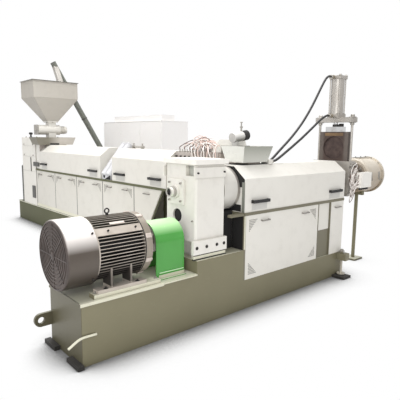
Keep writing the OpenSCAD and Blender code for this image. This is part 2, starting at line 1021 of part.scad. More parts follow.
// Places of the frame's upright posts; the last door reaches to the end of the frame
function door_edge(i) = i == door_count ? frame_end : door_y + i * door_pitch;
near_band_inset = 60;
near_band_y = near_hood_y + near_band_inset;
near_band_count = 2;
far_band_inset = 450;
far_band_y = far_hood_y + far_band_inset;
far_band_count = 5;
support_gap = 50;
first_supports = [
    near_band_y + near_band_count * band_pitch + support_gap, far_band_y - support_gap,
    far_band_y + far_band_count * band_pitch + support_gap
];

module first_frame() {
    color(olive)
        turn_to_first_stage() {
            both_sides() {
                for (i = [0 : door_count])
                    block(
                        [door_edge(i) - post_w / 2, -hw + panel_t, first_sill],
                        [door_edge(i) + post_w / 2, -hw + post_w, first_panel_top]
                    );
                translate([0, -hw + (panel_t + post_w) / 2, 0])
                    across_y(post_w - panel_t, [
                        [near_foot_y, first_sill], [near_foot_y + post_w, first_sill],
                        [near_top_y + post_w, first_panel_top], [near_top_y, first_panel_top]
                    ]);
                block(
                    [near_hood_y, -hw - lip, first_panel_top],
                    [frame_end + post_w / 2, -hw + post_w, first_rail_z]
                );
            }
            for (y = [near_hood_y, frame_end - post_w / 2])
                block([y, -hw + post_w, first_panel_top], [y + post_w, hw - post_w, first_rail_z]);
            for (y = first_supports)
                block(
                    [y - post_w / 2, -hw + post_w, first_panel_top],
                    [y + post_w / 2, hw - post_w, first_rail_z]
                );
        }
}

door_gap = 14;

module first_side_doors() {
    translate([0, -hw, 0]) {
        for (i = [0 : door_count - 1])
            panel(
                [door_edge(i) + door_gap / 2, first_sill],
                [door_edge(i + 1) - door_gap / 2, first_panel_top]
            );
        translate([0, panel_t / 2, 0])
            across_y(panel_t, [
                [near_foot_y, first_sill], [door_y - door_gap / 2, first_sill],
                [door_y - door_gap / 2, first_panel_top], [near_top_y, first_panel_top]
            ]);
    }
}

module first_doors() {
    color(off_white)
        turn_to_first_stage()
            both_sides()
                first_side_doors();
}

module far_cover() {
    color(off_white)
        turn_to_first_stage()
            translate([far_hood_y, 0, first_rail_z])
                hood(far_hood_l);
}

module near_cover() {
    color(off_white)
        turn_to_first_stage()
            translate([near_hood_y, 0, first_rail_z])
                hood(near_hood_l);
}

feed_y = far_hood_end + seam + feed_l / 2;
feed_block_top = first_hood_top + seam;
first_mouth = 100;
die_gap = 10;
die_l = 290;
die_block_y = [near_hood_y - die_gap - die_l, near_hood_y - die_gap];

module first_barrel() {
    color(steel_grey)
        difference() {
            union() {
                turn_to_first_stage()
                    translate([0, 0, first_axis_z]) {
                        banded_barrel(die_block_y[1], gearbox_y0, near_band_y, near_band_count);
                        banded_barrel(near_hood_y, gearbox_y0, far_band_y, far_band_count);
                    }
                block(
                    [-hw + panel_t, feed_y - feed_l / 2, first_rail_z],
                    [hw - panel_t, feed_y + feed_l / 2, feed_block_top]
                );
                for (y = first_supports)
                    block(
                        [-barrel_d / 2, y - support_t / 2, first_rail_z],
                        [barrel_d / 2, y + support_t / 2, first_axis_z]
                    );
            }
            block(
                [-first_mouth / 2, feed_y - first_mouth / 2, first_axis_z + barrel_d / 4],
                [first_mouth / 2, feed_y + first_mouth / 2, feed_block_top + over]
            );
        }
}

vent_y = near_hood_y + near_hood_l + vent_gap / 2;
vent_tube_d = 108;
vent_tube_t = 5;
vent_tube_l = 520;
vent_hollow = 150;
vent_lean = 51;
vent_foot_x = -hw + 10;
vent_foot_z = first_rail_z + 50;
vent_box_h = 70;
vent_box_gap = 10;

// One inclined tube of the chute, along its own X
module vent_tube(d, from, to) {
    translate([vent_foot_x, 0, vent_foot_z])
        rotate([0, -vent_lean, 0])
            rod_x(from, to, d);
}

module vent_chute() {
    bore_d = vent_tube_d - 2 * vent_tube_t;
    color(off_white)
        difference() {
            translate([0, vent_y, 0]) {
                both_sides()
                    translate([0, -vent_tube_d / 2 - seam, 0])
                        vent_tube(vent_tube_d, 0, vent_tube_l);
                block(
                    [-hw + seam, -vent_tube_d, first_rail_z],
                    [-barrel_d / 2 - vent_box_gap, vent_tube_d, first_rail_z + vent_box_h]
                );
            }
            translate([0, vent_y, 0])
                both_sides()
                    translate([0, -vent_tube_d / 2 - seam, 0])
                        vent_tube(bore_d, vent_tube_l - vent_hollow, vent_tube_l + over);
            turn_to_first_stage()
                translate([0, 0, first_axis_z])
                    rod_x(near_hood_y, far_hood_y, barrel_d + 2 * fit);
            block([-body_w, far_hood_y - body_w, 0], [body_w, far_hood_y, first_rail_z]);
        }
}

pipe_d = 92;
pipe_t = 5;
pipe_l = 197;
pipe_hollow = 120;
pipe_rise = 219;
pipe_lean = 9;
pipe_at = [-178, 40, 0];
stem_d = 60;
stem_shift = 38;
stem_bead = 8;

module vent_pipe() {
    color(off_white)
        translate(pipe_at + [0, 0, tray_z + tray_t])
            difference() {
                union() {
                    translate([stem_shift, 0, 0]) {
                        cylinder(d = stem_d + 2 * stem_bead, h = stem_bead);
                        cylinder(d = stem_d, h = pipe_rise);
                    }
                    translate([0, 0, pipe_rise])
                        rotate([0, 90 - pipe_lean, 0])
                            cylinder(d = pipe_d, h = pipe_l);
                }
                translate([0, 0, pipe_rise])
                    rotate([0, 90 - pipe_lean, 0])
                        translate([0, 0, pipe_l - pipe_hollow])
                            cylinder(d = pipe_d - 2 * pipe_t, h = pipe_hollow + over);
            }
}

heater_y0 = hw + 14;
heater_w = 220;
heater_below = 140;
heater_above = 200;
heater_z = [first_axis_z - heater_below, first_axis_z + heater_above];
heater_rib = 24;
die_block_size = [250, 390];

module first_die_head() {
    color(steel_grey) {
        block(
            [-die_block_size[0] / 2, die_block_y[0], first_axis_z - die_block_size[1] / 2],
            [die_block_size[0] / 2, die_block_y[1], first_axis_z + die_block_size[1] / 2]
        );
        block([-heater_w / 2, heater_y0, heater_z[0]], [heater_w / 2, die_block_y[0], heater_z[1]]);
        for (y = [heater_y0 + heater_rib : 2 * heater_rib : die_block_y[0] - heater_rib])
            block(
                [-heater_w / 2 - heater_rib / 2, y, heater_z[0] + heater_rib],
                [heater_w / 2 + heater_rib / 2, y + heater_rib, heater_z[1] + heater_rib / 2]
            );
    }
}

chute_w = 170;
chute_t = 4;
chute_z = heater_z[1] + heater_rib / 2;
chute_y = [100, 420];
chute_rise = 58;

module transfer_chute() {
    lip_z = tray_z + tray_h;
    chute_top = lip_z + chute_rise;
    rear = heater_y0 + heater_rib;
    color(off_white)
        translate([-chute_w / 2, 0, 0])
            difference() {
                along_x(chute_w, [
                    [chute_y[0], lip_z], [rear, lip_z], [rear, chute_z], [chute_y[1], chute_z],
                    [rear + heater_rib, chute_top], [chute_y[0] + heater_rib, chute_top]
                ]);
                translate([chute_t, 0, 0])
                    along_x(chute_w - 2 * chute_t, [
                        [chute_y[0] + chute_t, lip_z - over], [rear - chute_t, lip_z - over],
                        [rear, chute_top - heater_rib], [chute_y[0] + heater_rib, chute_top - chute_t]
                    ]);
            }
}

seam_steps = [-268, -8, 177];
seam_depth = 6;

module first_gearbox() {
    color(off_white)
        difference() {
            block([-hw, gearbox_y0, first_sill], [hw, gearbox_y1, first_gearbox_top]);
            for (z = [for (step = seam_steps) first_axis_z + step])
                difference() {
                    block([-hw - over, gearbox_y0 - over, z], [hw + over, gearbox_y1 + over, z + seam_depth]);
                    block(
                        [-hw + seam_depth, gearbox_y0 + seam_depth, z - over],
                        [hw - seam_depth, gearbox_y1 - seam_depth, z + seam_depth + over]
                    );
                }
        }
}

drive_guard_l = 130;
drive_guard_h = 710;
drive_guard_edge = 80;
drive_guard_inset = 20;

module drive_guard() {
    half = hw - drive_guard_inset;
    color(dark_grey)
        translate([0, gearbox_y1, first_sill])
            difference() {
                block([-half, 0, 0], [half, drive_guard_l, drive_guard_h]);
                for (x = [-half, half])
                    translate([x, 0, drive_guard_h])
                        rotate([0, 45, 0])
                            cube([drive_guard_edge, 4 * drive_guard_l, drive_guard_edge], center = true);
            }
}

// Feeding

first_tray_z = feed_block_top;
first_tray_h = 125;
first_tray_top = [700, 310];
first_tray_bottom = [600, 280];
first_tray_y = gearbox_y0 - 2 * seam - first_tray_top[1] / 2;
neck_w = 130;
feeder_lift = 251;
feeder_z = first_tray_z + feeder_lift;
feeder_x = [-245, 145];
feeder_flange_d = 172;
feeder_flange_t = 14;
feeder_motor_l = 115;
feeder_motor_d = 120;
outlet_flange_t = 12;

module first_feed_tray() {
    color(off_white)
        difference() {
            translate([0, first_tray_y, first_tray_z])
                flared_box(first_tray_bottom, first_tray_top, first_tray_h, tray_t);
            block(
                [-first_mouth / 2, feed_y - first_mouth / 2, first_tray_z - over],
                [first_mouth / 2, feed_y + first_mouth / 2, first_tray_z + 2 * tray_t]
            );
        }
}

module feeder() {
    color(off_white)
        difference() {
            union() {
                translate([0, feed_y, feeder_z]) {
                    rod_x(feeder_x[0], feeder_x[1], feeder_d);
                    for (x = [feeder_x[0], feeder_x[1] - feeder_flange_t])
                        rod_x(x, x + feeder_flange_t, feeder_flange_d);
                    rod_x(feeder_x[1], feeder_x[1] + feeder_motor_l, feeder_motor_d);
                }
                block(
                    [-neck_w / 2, feed_y - neck_w / 2, first_tray_z + tray_t],
                    [neck_w / 2, feed_y + neck_w / 2, outlet_z - outlet_flange_t]
                );
                block(
                    [-outlet_w / 2, feed_y - outlet_w / 2, outlet_z - outlet_flange_t],
                    [outlet_w / 2, feed_y + outlet_w / 2, outlet_z]
                );
            }
            block(
                [-first_mouth / 2, feed_y - first_mouth / 2, first_tray_z],
                [first_mouth / 2, feed_y + first_mouth / 2, outlet_z + over]
            );
        }
}

// Hopper walls: a square outlet, sloped sides and upright walls
module hopper_solid(inset, past) {
    slab = 0.01;
    w = hopper_w / 2 - inset;
    d = hopper_d / 2 - inset;
    o = outlet_w / 2 - inset;
    hull() {
        translate([-o, -o, outlet_z - past])
            cube([2 * o, 2 * o, slab]);
        translate([-w, -d, hopper_top - hopper_wall_h])
            cube([2 * w, 2 * d, hopper_wall_h + past]);
    }
}

hopper_rim = 14;

module hopper() {
    color(off_white)
        translate([0, feed_y, 0]) {
            difference() {
                hopper_solid(0, 0);
                hopper_solid(hopper_t, over);
            }
            difference() {
                block(
                    [-hopper_w / 2 - hopper_rim, -hopper_d / 2 - hopper_rim, hopper_top - hopper_t],
                    [hopper_w / 2 + hopper_rim, hopper_d / 2 + hopper_rim, hopper_top]
                );
                block(
                    [-hopper_w / 2 + hopper_t, -hopper_d / 2 + hopper_t, hopper_top - hopper_wall_h],
                    [hopper_w / 2 - hopper_t, hopper_d / 2 - hopper_t, hopper_top + over]
                );
            }
        }
}

loader_gap = 135;
loader_lift = 346;
loader_y = feed_y + hopper_d / 2 + loader_gap;
loader_head = [290, hopper_top + loader_lift];
loader_head_l = 70;
bin_bottom = [500, 380];
bin_top = [700, 390];
bin_h = 500;
bin_t = 4;
loader_foot_z = bin_t + fit + loader_d / 2 * cos(loader_slope);
loader_drop = loader_head[1] - loader_foot_z;
loader_l = loader_drop / sin(loader_slope);
loader_foot_x = loader_head[0] + loader_drop / tan(loader_slope);
bin_shift = [-60, 115];
bin_x = loader_foot_x + bin_shift[0];
bin_y = loader_y + bin_shift[1];

module loader_tube() {
    color(dark_grey)
        translate([loader_head[0], loader_y, loader_head[1]])
            rotate([0, 90 + loader_slope, 0])
                translate([0, 0, -loader_head_l])
                    cylinder(d = loader_d, h = loader_l + loader_head_l);
}

spout_w = 84;
spout_t = 4;
spout_drop = 250;
spout_inset = 60;
spout_y = feed_y + hopper_d / 2 - spout_inset;

module loader_spout() {
    top = loader_head[1] - loader_d / 2;
    crown = loader_head[1];
    rim_y = feed_y + hopper_d / 2;
    color(off_white)
        difference() {
            translate([loader_head[0] - spout_w / 2, 0, 0]) {
                along_x(spout_w, [
                    [loader_y + spout_w / 2, crown], [loader_y - spout_w / 2, crown],
                    [spout_y - spout_w / 2, top - spout_drop], [spout_y + spout_w / 2, top - spout_drop]
                ]);
                block(
                    [0, rim_y - spout_w / 8, hopper_top],
                    [spout_w, rim_y + hopper_rim, top - spout_drop / 2]
                );
            }
            translate([loader_head[0] - spout_w / 2 + spout_t, 0, 0])
                along_x(spout_w - 2 * spout_t, [
                    [loader_y, top], [loader_y - spout_w / 2 + 2 * spout_t, top],
                    [spout_y - spout_w / 2 + spout_t, top - spout_drop - over],
                    [spout_y + spout_w / 2 - spout_t, top - spout_drop - over]
                ]);
            translate([loader_head[0], loader_y, loader_head[1]])
                rotate([0, 90 + loader_slope, 0])
                    translate([0, 0, -loader_l / 2])
                        cylinder(d = loader_d + 2 * fit, h = loader_l);
        }
}

module loader_bin() {
    color(off_white)
        translate([bin_x, bin_y, 0])
            flared_box(bin_bottom, bin_top, bin_h, bin_t);
}

// Control cabinet

cabinet_y = bin_y - bin_top[1] / 2 - cabinet_gap - cabinet_l;
cabinet_plinth = 100;
cabinet_edge = 20;
cabinet_door_t = 18;
cabinet_door_count = 3;
cabinet_box_inset = 30;
cabinet_box_l = 1540;
cabinet_box_d = 290;

module cabinet_body() {
    color(off_white) {
        block(
            [cabinet_x + cabinet_edge, cabinet_y + cabinet_edge, 0],
            [cabinet_x + cabinet_d - cabinet_edge, cabinet_y + cabinet_l - cabinet_edge, cabinet_plinth]
        );
        block(
            [cabinet_x + cabinet_door_t, cabinet_y, cabinet_plinth],
            [cabinet_x + cabinet_d, cabinet_y + cabinet_l, cabinet_h]
        );
        block(
            [cabinet_x + cabinet_box_inset, cabinet_y + cabinet_box_inset, cabinet_h],
            [cabinet_x + cabinet_box_d, cabinet_y + cabinet_box_l, cabinet_h + cabinet_box_h]
        );
    }
}

module cabinet_doors() {
    pitch = cabinet_l / cabinet_door_count;
    color(off_white)
        for (i = [0 : cabinet_door_count - 1])
            block(
                [cabinet_x, cabinet_y + i * pitch + seam / 2, cabinet_plinth + seam],
                [cabinet_x + cabinet_door_t, cabinet_y + (i + 1) * pitch - seam / 2, cabinet_h - seam]
            );
}

// Handles

grip_l = 225;
grip_out = 34;
grip_h = 28;
grip_z = 80;

// A bow handle in the XZ plane that stands out towards -Y
module bow_handle(length, reach, height, bar) {
    difference() {
        block([-length / 2, -reach, 0], [length / 2, 0, height]);
        block([-length / 2 + bar, -reach + bar, -over], [length / 2 - bar, over, height + over]);
    }
}

grip_bar = 14;

module grips(places, z) {
    for (x = places)
        translate([x, -hw, z + grip_z])
            bow_handle(grip_l, grip_out, grip_h, grip_bar);
}

grip_inset = 198;

module cover_handles() {
    color(black) {
        both_sides()
            grips([frame_x + grip_inset, second_end - grip_inset], rail_z);
        turn_to_first_stage()
            both_sides()
                grips([
                    near_hood_y + grip_inset, near_hood_y + near_hood_l - grip_inset,
                    far_hood_y + grip_inset, far_hood_y + far_hood_l - grip_inset
                ], first_rail_z);
    }
}

pull_l = 110;
pull_out = 26;
pull_h = 12;
pull_bar = 8;
pull_drop = 70;

pull_inset = 190;
pull_from_frame = 280;
pull_from_seam = 238;
near_pull_shift = 86;
second_pulls = [frame_x + pull_from_frame, large_panel_end - pull_from_seam, (bay_x1 + second_end) / 2];

module pulls(places, top) {
    for (x = places)
        translate([x, -hw, top - pull_drop])
            bow_handle(pull_l, pull_out, pull_h, pull_bar);
}

module panel_handles() {
    color(steel_grey) {
        both_sides()
            pulls(second_pulls, panel_top);
        turn_to_first_stage()
            both_sides() {
                for (i = [0 : door_count - 1])
                    pulls([door_edge(i) + pull_inset, door_edge(i + 1) - pull_inset], first_panel_top);
                pulls([near_foot_y - near_pull_shift], first_panel_top);
            }
    }
}

// Hydraulic hoses

hose_d = 25;
hose_sides = 10;
bulkhead_low = [170, -120];
bulkhead_size = [55, 100, 44];
hose_lift = 23;

// Routes from the cylinder's ports to the bulkhead on the second hood
upper_route = [
    [1380, 0, 2254], [1350, 0, 2254], [1315, -2, 2252], [1280, -5, 2240], [1245, -8, 2218],
    [1205, -12, 2180], [1160, -15, 2128], [1110, -18, 2066], [1055, -21, 1996], [995, -24, 1922],
    [930, -27, 1848], [860, -30, 1774], [785, -33, 1702], [705, -36, 1634], [620, -39, 1568],
    [540, -42, 1512], [465, -44, 1462], [400, -46, 1418], [345, -48, 1380], [300, -49, 1350],
    [258, -50, 1328], [225, -50, 1328]
];
lower_route = [
    [1380, 0, 1818], [1350, 0, 1818], [1305, -5, 1815], [1260, -9, 1803], [1205, -14, 1782],
    [1145, -20, 1754], [1080, -26, 1720], [1010, -33, 1682], [935, -40, 1642], [855, -48, 1600],
    [770, -56, 1556], [680, -64, 1512], [590, -71, 1468], [505, -78, 1428], [430, -83, 1392],
    [365, -87, 1362], [312, -90, 1340], [262, -92, 1328], [225, -92, 1328]
];

// Shifts a route so that its ends meet two given points
function fitted(route, start, end) =
    let (last = len(route) - 1)
    [for (i = [0 : last])
        let (f = min(max((i - 1) / (last - 2), 0), 1))
        route[i] + (1 - f) * (start - route[0]) + f * (end - route[last])];
function port_point(z) = [changer_x - port_reach, 0, z + end_flange_t / 2];
function bulkhead_point(y) = [bulkhead_low[0] + bulkhead_size[0], y, hood_top + hose_lift];
function unit(v) = v / norm(v);
function heading(route, i) =
    unit(route[min(i + 1, len(route) - 1)] - route[max(i - 1, 0)]);
function ring(route, i) =
    let (
        ahead = heading(route, i),
        up = unit(cross(ahead, [0, 1, 0])),
        side = cross(ahead, up)
    )
    [for (k = [0 : hose_sides - 1])
        let (a = 360 * k / hose_sides)
        route[i] + hose_d / 2 * (cos(a) * up + sin(a) * side)];

// A tube swept along a route
module hose(route) {
    n = hose_sides;
    last = len(route) - 1;
    points = [for (i = [0 : last]) each ring(route, i)];
    sides = [for (i = [0 : last - 1], k = [0 : n - 1])
        [i * n + k, i * n + (k + 1) % n, (i + 1) * n + (k + 1) % n, (i + 1) * n + k]];
    start = [for (k = [n - 1 : -1 : 0]) k];
    end = [for (k = [0 : n - 1]) last * n + k];
    color(black)
        polyhedron(points, [start, each sides, end]);
}

module hose_upper() {
    hose(fitted(upper_route, port_point(cylinder_top), bulkhead_point(-50)));
}

module hose_lower() {
    hose(fitted(lower_route, port_point(cylinder_z), bulkhead_point(-92)));
}

module hose_bulkhead() {
    color(dark_grey)
        translate([bulkhead_low[0], bulkhead_low[1], hood_top])
            cube(bulkhead_size);
}

second_base();
second_frame();
second_panels();
second_cover();
second_barrel();
second_feed_tray();
levelling_feet();
lifting_lug();
motor_frame();
motor_fan_cowl();
motor_end_shield();
motor_lifting_eye();
coupling_guard();
drive_coupling();
gearbox_housing();
gearbox_cap();
gearbox_pipe_flange();
thrust_drum();
changer_body();
changer_yoke();
hydraulic_cylinder();
piston_rod();
screen_slide();
die_head();
junction_box();
pelletizer_hood();
pelletizer_stand();
first_base();
first_frame();
first_doors();
far_cover();
near_cover();
first_barrel();
vent_chute();
vent_pipe();
first_die_head();
transfer_chute();
first_gearbox();
drive_guard();
first_feed_tray();
feeder();
hopper();
loader_tube();
loader_spout();
loader_bin();
cabinet_body();
cabinet_doors();
cover_handles();
panel_handles();
hose_bulkhead();
hose_upper();
hose_lower();
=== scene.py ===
import math
import random
from itertools import product

import bmesh
import bpy
from mathutils import Matrix, Vector


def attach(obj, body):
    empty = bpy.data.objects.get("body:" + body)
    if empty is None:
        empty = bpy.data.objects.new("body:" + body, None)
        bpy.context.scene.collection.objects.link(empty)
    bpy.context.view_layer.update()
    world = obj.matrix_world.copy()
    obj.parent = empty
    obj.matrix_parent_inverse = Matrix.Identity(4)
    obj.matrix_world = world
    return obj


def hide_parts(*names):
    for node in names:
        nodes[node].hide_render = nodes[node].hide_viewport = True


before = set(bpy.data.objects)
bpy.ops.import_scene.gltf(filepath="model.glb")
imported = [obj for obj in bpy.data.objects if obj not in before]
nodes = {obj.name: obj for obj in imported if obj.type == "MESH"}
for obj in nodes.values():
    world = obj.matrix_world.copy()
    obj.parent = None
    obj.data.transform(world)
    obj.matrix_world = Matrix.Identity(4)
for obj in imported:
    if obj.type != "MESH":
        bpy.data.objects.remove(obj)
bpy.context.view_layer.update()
dice = random.Random(7)


def light_of(colour):
    """A colour as a picture shows it, 0 to 255, turned into light. Others pass through."""
    if isinstance(colour, Signal) or len(colour) == 4:
        return colour
    return tuple(((c / 255 + 0.055) / 1.055) ** 2.4 for c in colour) + (1.0,)


# Places along the motor, which finishes follow too

COWL_X, MOTOR_X0, MOTOR_X1, MOTOR_Z = -1.945, -1.722, -1.342, 0.74

# Finishes

class Signal:
    """A value in a node tree. Sums and products of signals add Math nodes."""

    def __init__(self, finish, socket):
        self.finish = finish
        self.socket = socket

    def math(self, operation, other, swapped=False):
        first, second = (other, self) if swapped else (self, other)
        return self.finish.add("Math", {"operation": operation}, {0: first, 1: second})

    def __add__(self, other):
        return self.math("ADD", other)

    def __sub__(self, other):
        return self.math("SUBTRACT", other)

    def __rsub__(self, other):
        return self.math("SUBTRACT", other, True)

    def __mul__(self, other):
        return self.math("MULTIPLY", other)

    __radd__ = __add__
    __rmul__ = __mul__


class Finish:
    """A surface finish made of nodes; a place on it is in metres in the object's own frame."""

    def __init__(self, name, tree=None):
        if tree is None:
            self.material = bpy.data.materials.new(name)
            self.material.use_nodes = True
            tree = self.material.node_tree
        self.tree = tree
        self.tree.nodes.clear()

    def add(self, kind, settings=None, inputs=None, output=0):
        node = self.tree.nodes.new("ShaderNode" + kind)
        for key, value in (settings or {}).items():
            setattr(node, key, value)
        for key, value in (inputs or {}).items():
            if isinstance(value, Signal):
                self.tree.links.new(value.socket, node.inputs[key])
            else:
                node.inputs[key].default_value = value
        return Signal(self, node.outputs[output]) if len(node.outputs) else None

    def place(self, stretch=(1, 1, 1)):
        here = self.add("TexCoord", output="Object")
        return self.add("Mapping", inputs={"Vector": here, "Scale": stretch})

    def noise(self, scale, detail=3.0, rough=0.5, stretch=(1, 1, 1)):
        return self.add("TexNoise", inputs={
            "Vector": self.place(stretch), "Scale": scale, "Detail": detail, "Roughness": rough})

    def steps(self, signal, low, high):
        """From 0 to 1 between two levels of a signal that itself runs from 0 to 1."""
        ramp = self.add("ValToRGB", inputs={"Fac": signal})
        first, last = ramp.socket.node.color_ramp.elements
        first.position, last.position = low, high
        return ramp

    def blend(self, share, first, second):
        """One colour fading into another; plain colours are given as 0 to 255."""
        inputs = {0: share, 6: light_of(first), 7: light_of(second)}
        return self.add("Mix", {"data_type": "RGBA"}, inputs, 2)

    def hollow(self, reach):
        """1 in corners and under edges, 0 in the open."""
        return 1 - self.add("AmbientOcclusion", {"samples": 8}, {"Distance": reach}, "AO")

    def along(self, letter):
        """The place along X, Y or Z."""
        return self.add("SeparateXYZ", inputs={"Vector": self.place()}, output=letter)

    def between(self, signal, low, high):
        """0 below the low end, 1 above the high end."""
        return self.steps((signal - low) * (1 / (high - low)), 0.0, 1.0)

    def facing(self, letter, low, high):
        """From 0 to 1 as a face turns towards X, Y or Z."""
        face = self.add("NewGeometry", output="Normal")
        return self.between(self.add("SeparateXYZ", inputs={"Vector": face}, output=letter), low, high)

    def height(self, level, depth, distance=0.001):
        return self.add(
            "Bump", inputs={"Height": level, "Strength": depth, "Distance": distance}, output="Normal")

    def close(self, colour, roughness, metallic=0.0, normal=None, gloss=0.5):
        inputs = {
            "Base Color": colour, "Roughness": roughness, "Metallic": metallic, "Specular IOR Level": gloss}
        if normal is not None:
            inputs["Normal"] = normal
        shader = self.add("BsdfPrincipled", inputs=inputs)
        self.add("OutputMaterial", inputs={"Surface": shader})
        return self.material


def sprayed_paint(name, colour, aged, dark_tone, roughness=0.38, dirt_and_shade=0.35, peel=0.05, shaded=0.0):
    """Paint on sheet metal: faint cloudiness, orange peel, dirty smudges, painted shade in the corners, and
    painted shade on faces turned to -X where asked.
    """
    f = Finish(name)
    cloud = f.steps(f.noise(1.1, 3.0), 0.35, 0.75)
    smudge = f.steps(f.noise(9.0, 6.0, 0.62), 0.50, 0.78)
    # Painted shade: ambient occlusion darkens the paint in corners.
    corner = f.steps(f.hollow(0.05), 0.25, 0.95)
    coat = f.blend(cloud * 0.7, colour, aged)
    # The dark tone goes into the corners as painted shade and into the smudges as a dirty film.
    coat = f.blend(corner * dirt_and_shade + smudge * (0.25 * dirt_and_shade), coat, dark_tone)
    # Painted shade: faces turned towards -X darken by the shaded share.
    coat = f.blend(f.facing("X", -0.3, -0.9) * shaded, coat, dark_tone)
    skin = f.noise(260.0, 2.0)
    return f.close(
        coat, roughness + smudge * 0.14 + cloud * 0.05,
        normal=f.height(skin, peel, 0.0006), gloss=0.45)


def thick_enamel(name, colour, aged, bare, roughness=0.42, chipped=0.5, dust=0.0, end_shade=None, gloss=0.4):
    """Enamel on welded plate: brush clouds, scuffs, worn edges, dust on level tops, painted shade at one end,
    and painted shade in the corners.
    """
    f = Finish(name)
    cloud = f.steps(f.noise(2.3, 4.0), 0.3, 0.72)
    scuff = f.steps(f.noise(17.0, 7.0, 0.65, (1.0, 1.0, 2.2)), 0.58, 0.74)
    edge = 1 - f.add(
        "AmbientOcclusion", {"samples": 8, "inside": True, "only_local": True}, {"Distance": 0.012}, "AO")
    worn = f.steps(edge * (0.55 + scuff * 0.6), 0.42, 0.62)
    corner = f.steps(f.hollow(0.08), 0.3, 0.95)
    coat = f.blend(cloud * 0.75, colour, aged)
    coat = f.blend(scuff * 0.14, coat, bare)
    level = f.facing("Z", 0.80, 0.98) * (1 - f.between(f.along("Z"), 0.47, 0.53) * 0.5)
    coat = f.blend(level * (dust * (0.75 + cloud * 0.25)), coat, (218, 217, 198))
    # Painted shade: the end below a given X is darkened.
    if end_shade:
        amount, low, high = end_shade
        coat = f.blend((1 - f.between(f.along("X"), low, high)) * amount, coat, (50, 47, 36))
    coat = f.blend(worn * chipped, coat, bare)
    # Painted shade: ambient occlusion darkens corners.
    coat = f.blend(corner * 0.45, coat, (52, 48, 39))
    grain = f.noise(120.0, 3.0) + cloud * 0.6
    return f.close(
        coat, roughness + scuff * 0.15 - worn * 0.08,
        normal=f.height(grain, 0.06, 0.001), gloss=gloss)


def glossy_enamel(name, colour, aged, top_highlight, roughness=0.2):
    """Thick shiny enamel with faint runs, a painted highlight on top, painted shade in corners, and dusty on
    the foot.
    """
    f = Finish(name)
    cloud = f.steps(f.noise(3.1, 4.0), 0.3, 0.75)
    smear = f.steps(f.noise(26.0, 5.0, 0.6, (1.0, 1.0, 0.3)), 0.55, 0.8)
    corner = f.steps(f.hollow(0.06), 0.3, 0.95)
    coat = f.blend(cloud, colour, aged)
    # Painted highlight: faces turned upwards are lightened.
    coat = f.blend(f.facing("Z", 0.40, 0.92) * 0.95, coat, top_highlight)
    foot = f.facing("Z", 0.80, 0.98) * (1 - f.between(f.along("Z"), 0.458, 0.462))
    coat = f.blend(foot * 0.85, coat, (206, 208, 186))
    # Painted shade: ambient occlusion darkens corners.
    coat = f.blend(corner * 0.5, coat, (28, 52, 22))
    runs = f.height(f.noise(40.0, 2.0), 0.05, 0.001)
    return f.close(coat, roughness + smear * 0.12, normal=runs, gloss=0.6)


def cast_paint(name, colour, aged, dark_tone, roughness=0.4, metallic=0.35):
    """Metallic paint over a rough casting, with painted shade in the corners."""
    f = Finish(name)
    cloud = f.steps(f.noise(4.0, 4.0), 0.3, 0.75)
    pits = f.noise(90.0, 5.0, 0.6)
    corner = f.steps(f.hollow(0.03), 0.3, 0.9)
    coat = f.blend(cloud, colour, aged)
    # Painted shade: ambient occlusion darkens corners towards the dark tone.
    coat = f.blend(corner * 0.7, coat, dark_tone)
    return f.close(
        coat, roughness + cloud * 0.1 + pits * 0.08, metallic,
        normal=f.height(pits, 0.18, 0.0015))


def finned_casting(name):
    """Pale worn fin tips over gaps painted near black as shade, painted shade low down, a painted shadow
    under the body, and a dusty dark crown.
    """
    f = Finish(name)
    out = f.add("Mapping", inputs={
        "Vector": f.place(), "Location": (0.0, 0.0, -MOTOR_Z), "Scale": (0.0, 1.0, 1.0)})
    tip = f.between(f.add("VectorMath", {"operation": "LENGTH"}, {0: out}, "Value"), 0.2290, 0.2372)
    cloud = f.steps(f.noise(9.0, 5.0), 0.3, 0.75)
    z, y = f.along("Z"), f.along("Y")
    crown = f.between(z, 0.915, 0.928)
    above_feet = f.between(z, 0.506, 0.512)
    low = (1 - f.between(z, 0.57, 0.74)) * above_feet
    under = (1 - f.between(z, 0.60, 0.66)) * (1 - f.between(y * y, 0.0412, 0.0441)) * above_feet
    pits = f.noise(90.0, 5.0, 0.6)
    coat = f.blend(cloud, (196, 187, 176), (166, 156, 144))
    # Painted shade: the lower part of the body is darkened.
    coat = f.blend(low * 0.75, coat, (60, 53, 47))
    coat = f.blend(crown * (0.7 + cloud * 0.3), coat, (122, 115, 102))
    # Painted shade: the gaps between the fins are painted near black.
    coat = f.blend(tip, (16, 14, 13), coat)
    # Painted shadow: the underside above the feet is darkened.
    coat = f.blend(under * 0.85, coat, (30, 26, 24))
    return f.close(coat, 0.42 + cloud * 0.12, 0.15, normal=f.height(pits, 0.15, 0.0015))


def fan_cowl_paint(name):
    """Metallic paint, with a painted highlight on top and painted shade darkening towards its underside, and
    dark and dirty with oil on its end.
    """
    f = Finish(name)
    z = f.along("Z")
    low = 1 - f.between(z, 0.790, 0.885)
    end = 1 - f.between(f.along("X"), COWL_X + 0.003, COWL_X + 0.016)
    cloud = f.steps(f.noise(5.0, 5.0, 0.6), 0.3, 0.75)
    swirl = f.steps(f.noise(14.0, 6.0, 0.65), 0.4, 0.7)
    lines = f.noise(30.0, 3.0, 0.5, (30, 1, 1))
    # Painted highlight and painted shade: light at the top, darkening downwards.
    coat = f.blend(low, (236, 230, 225), (82, 74, 66))
    coat = f.blend(1 - f.between(z, 0.54, 0.68), coat, (50, 44, 39))
    coat = f.blend(cloud * 0.12, coat, (120, 108, 100))
    coat = f.blend(end, coat, f.blend(swirl, (66, 58, 55), (86, 76, 71)))
    return f.close(
        coat, 0.30 + cloud * 0.10 + end * 0.25, 0.25,
        normal=f.height(lines, 0.04, 0.0008))


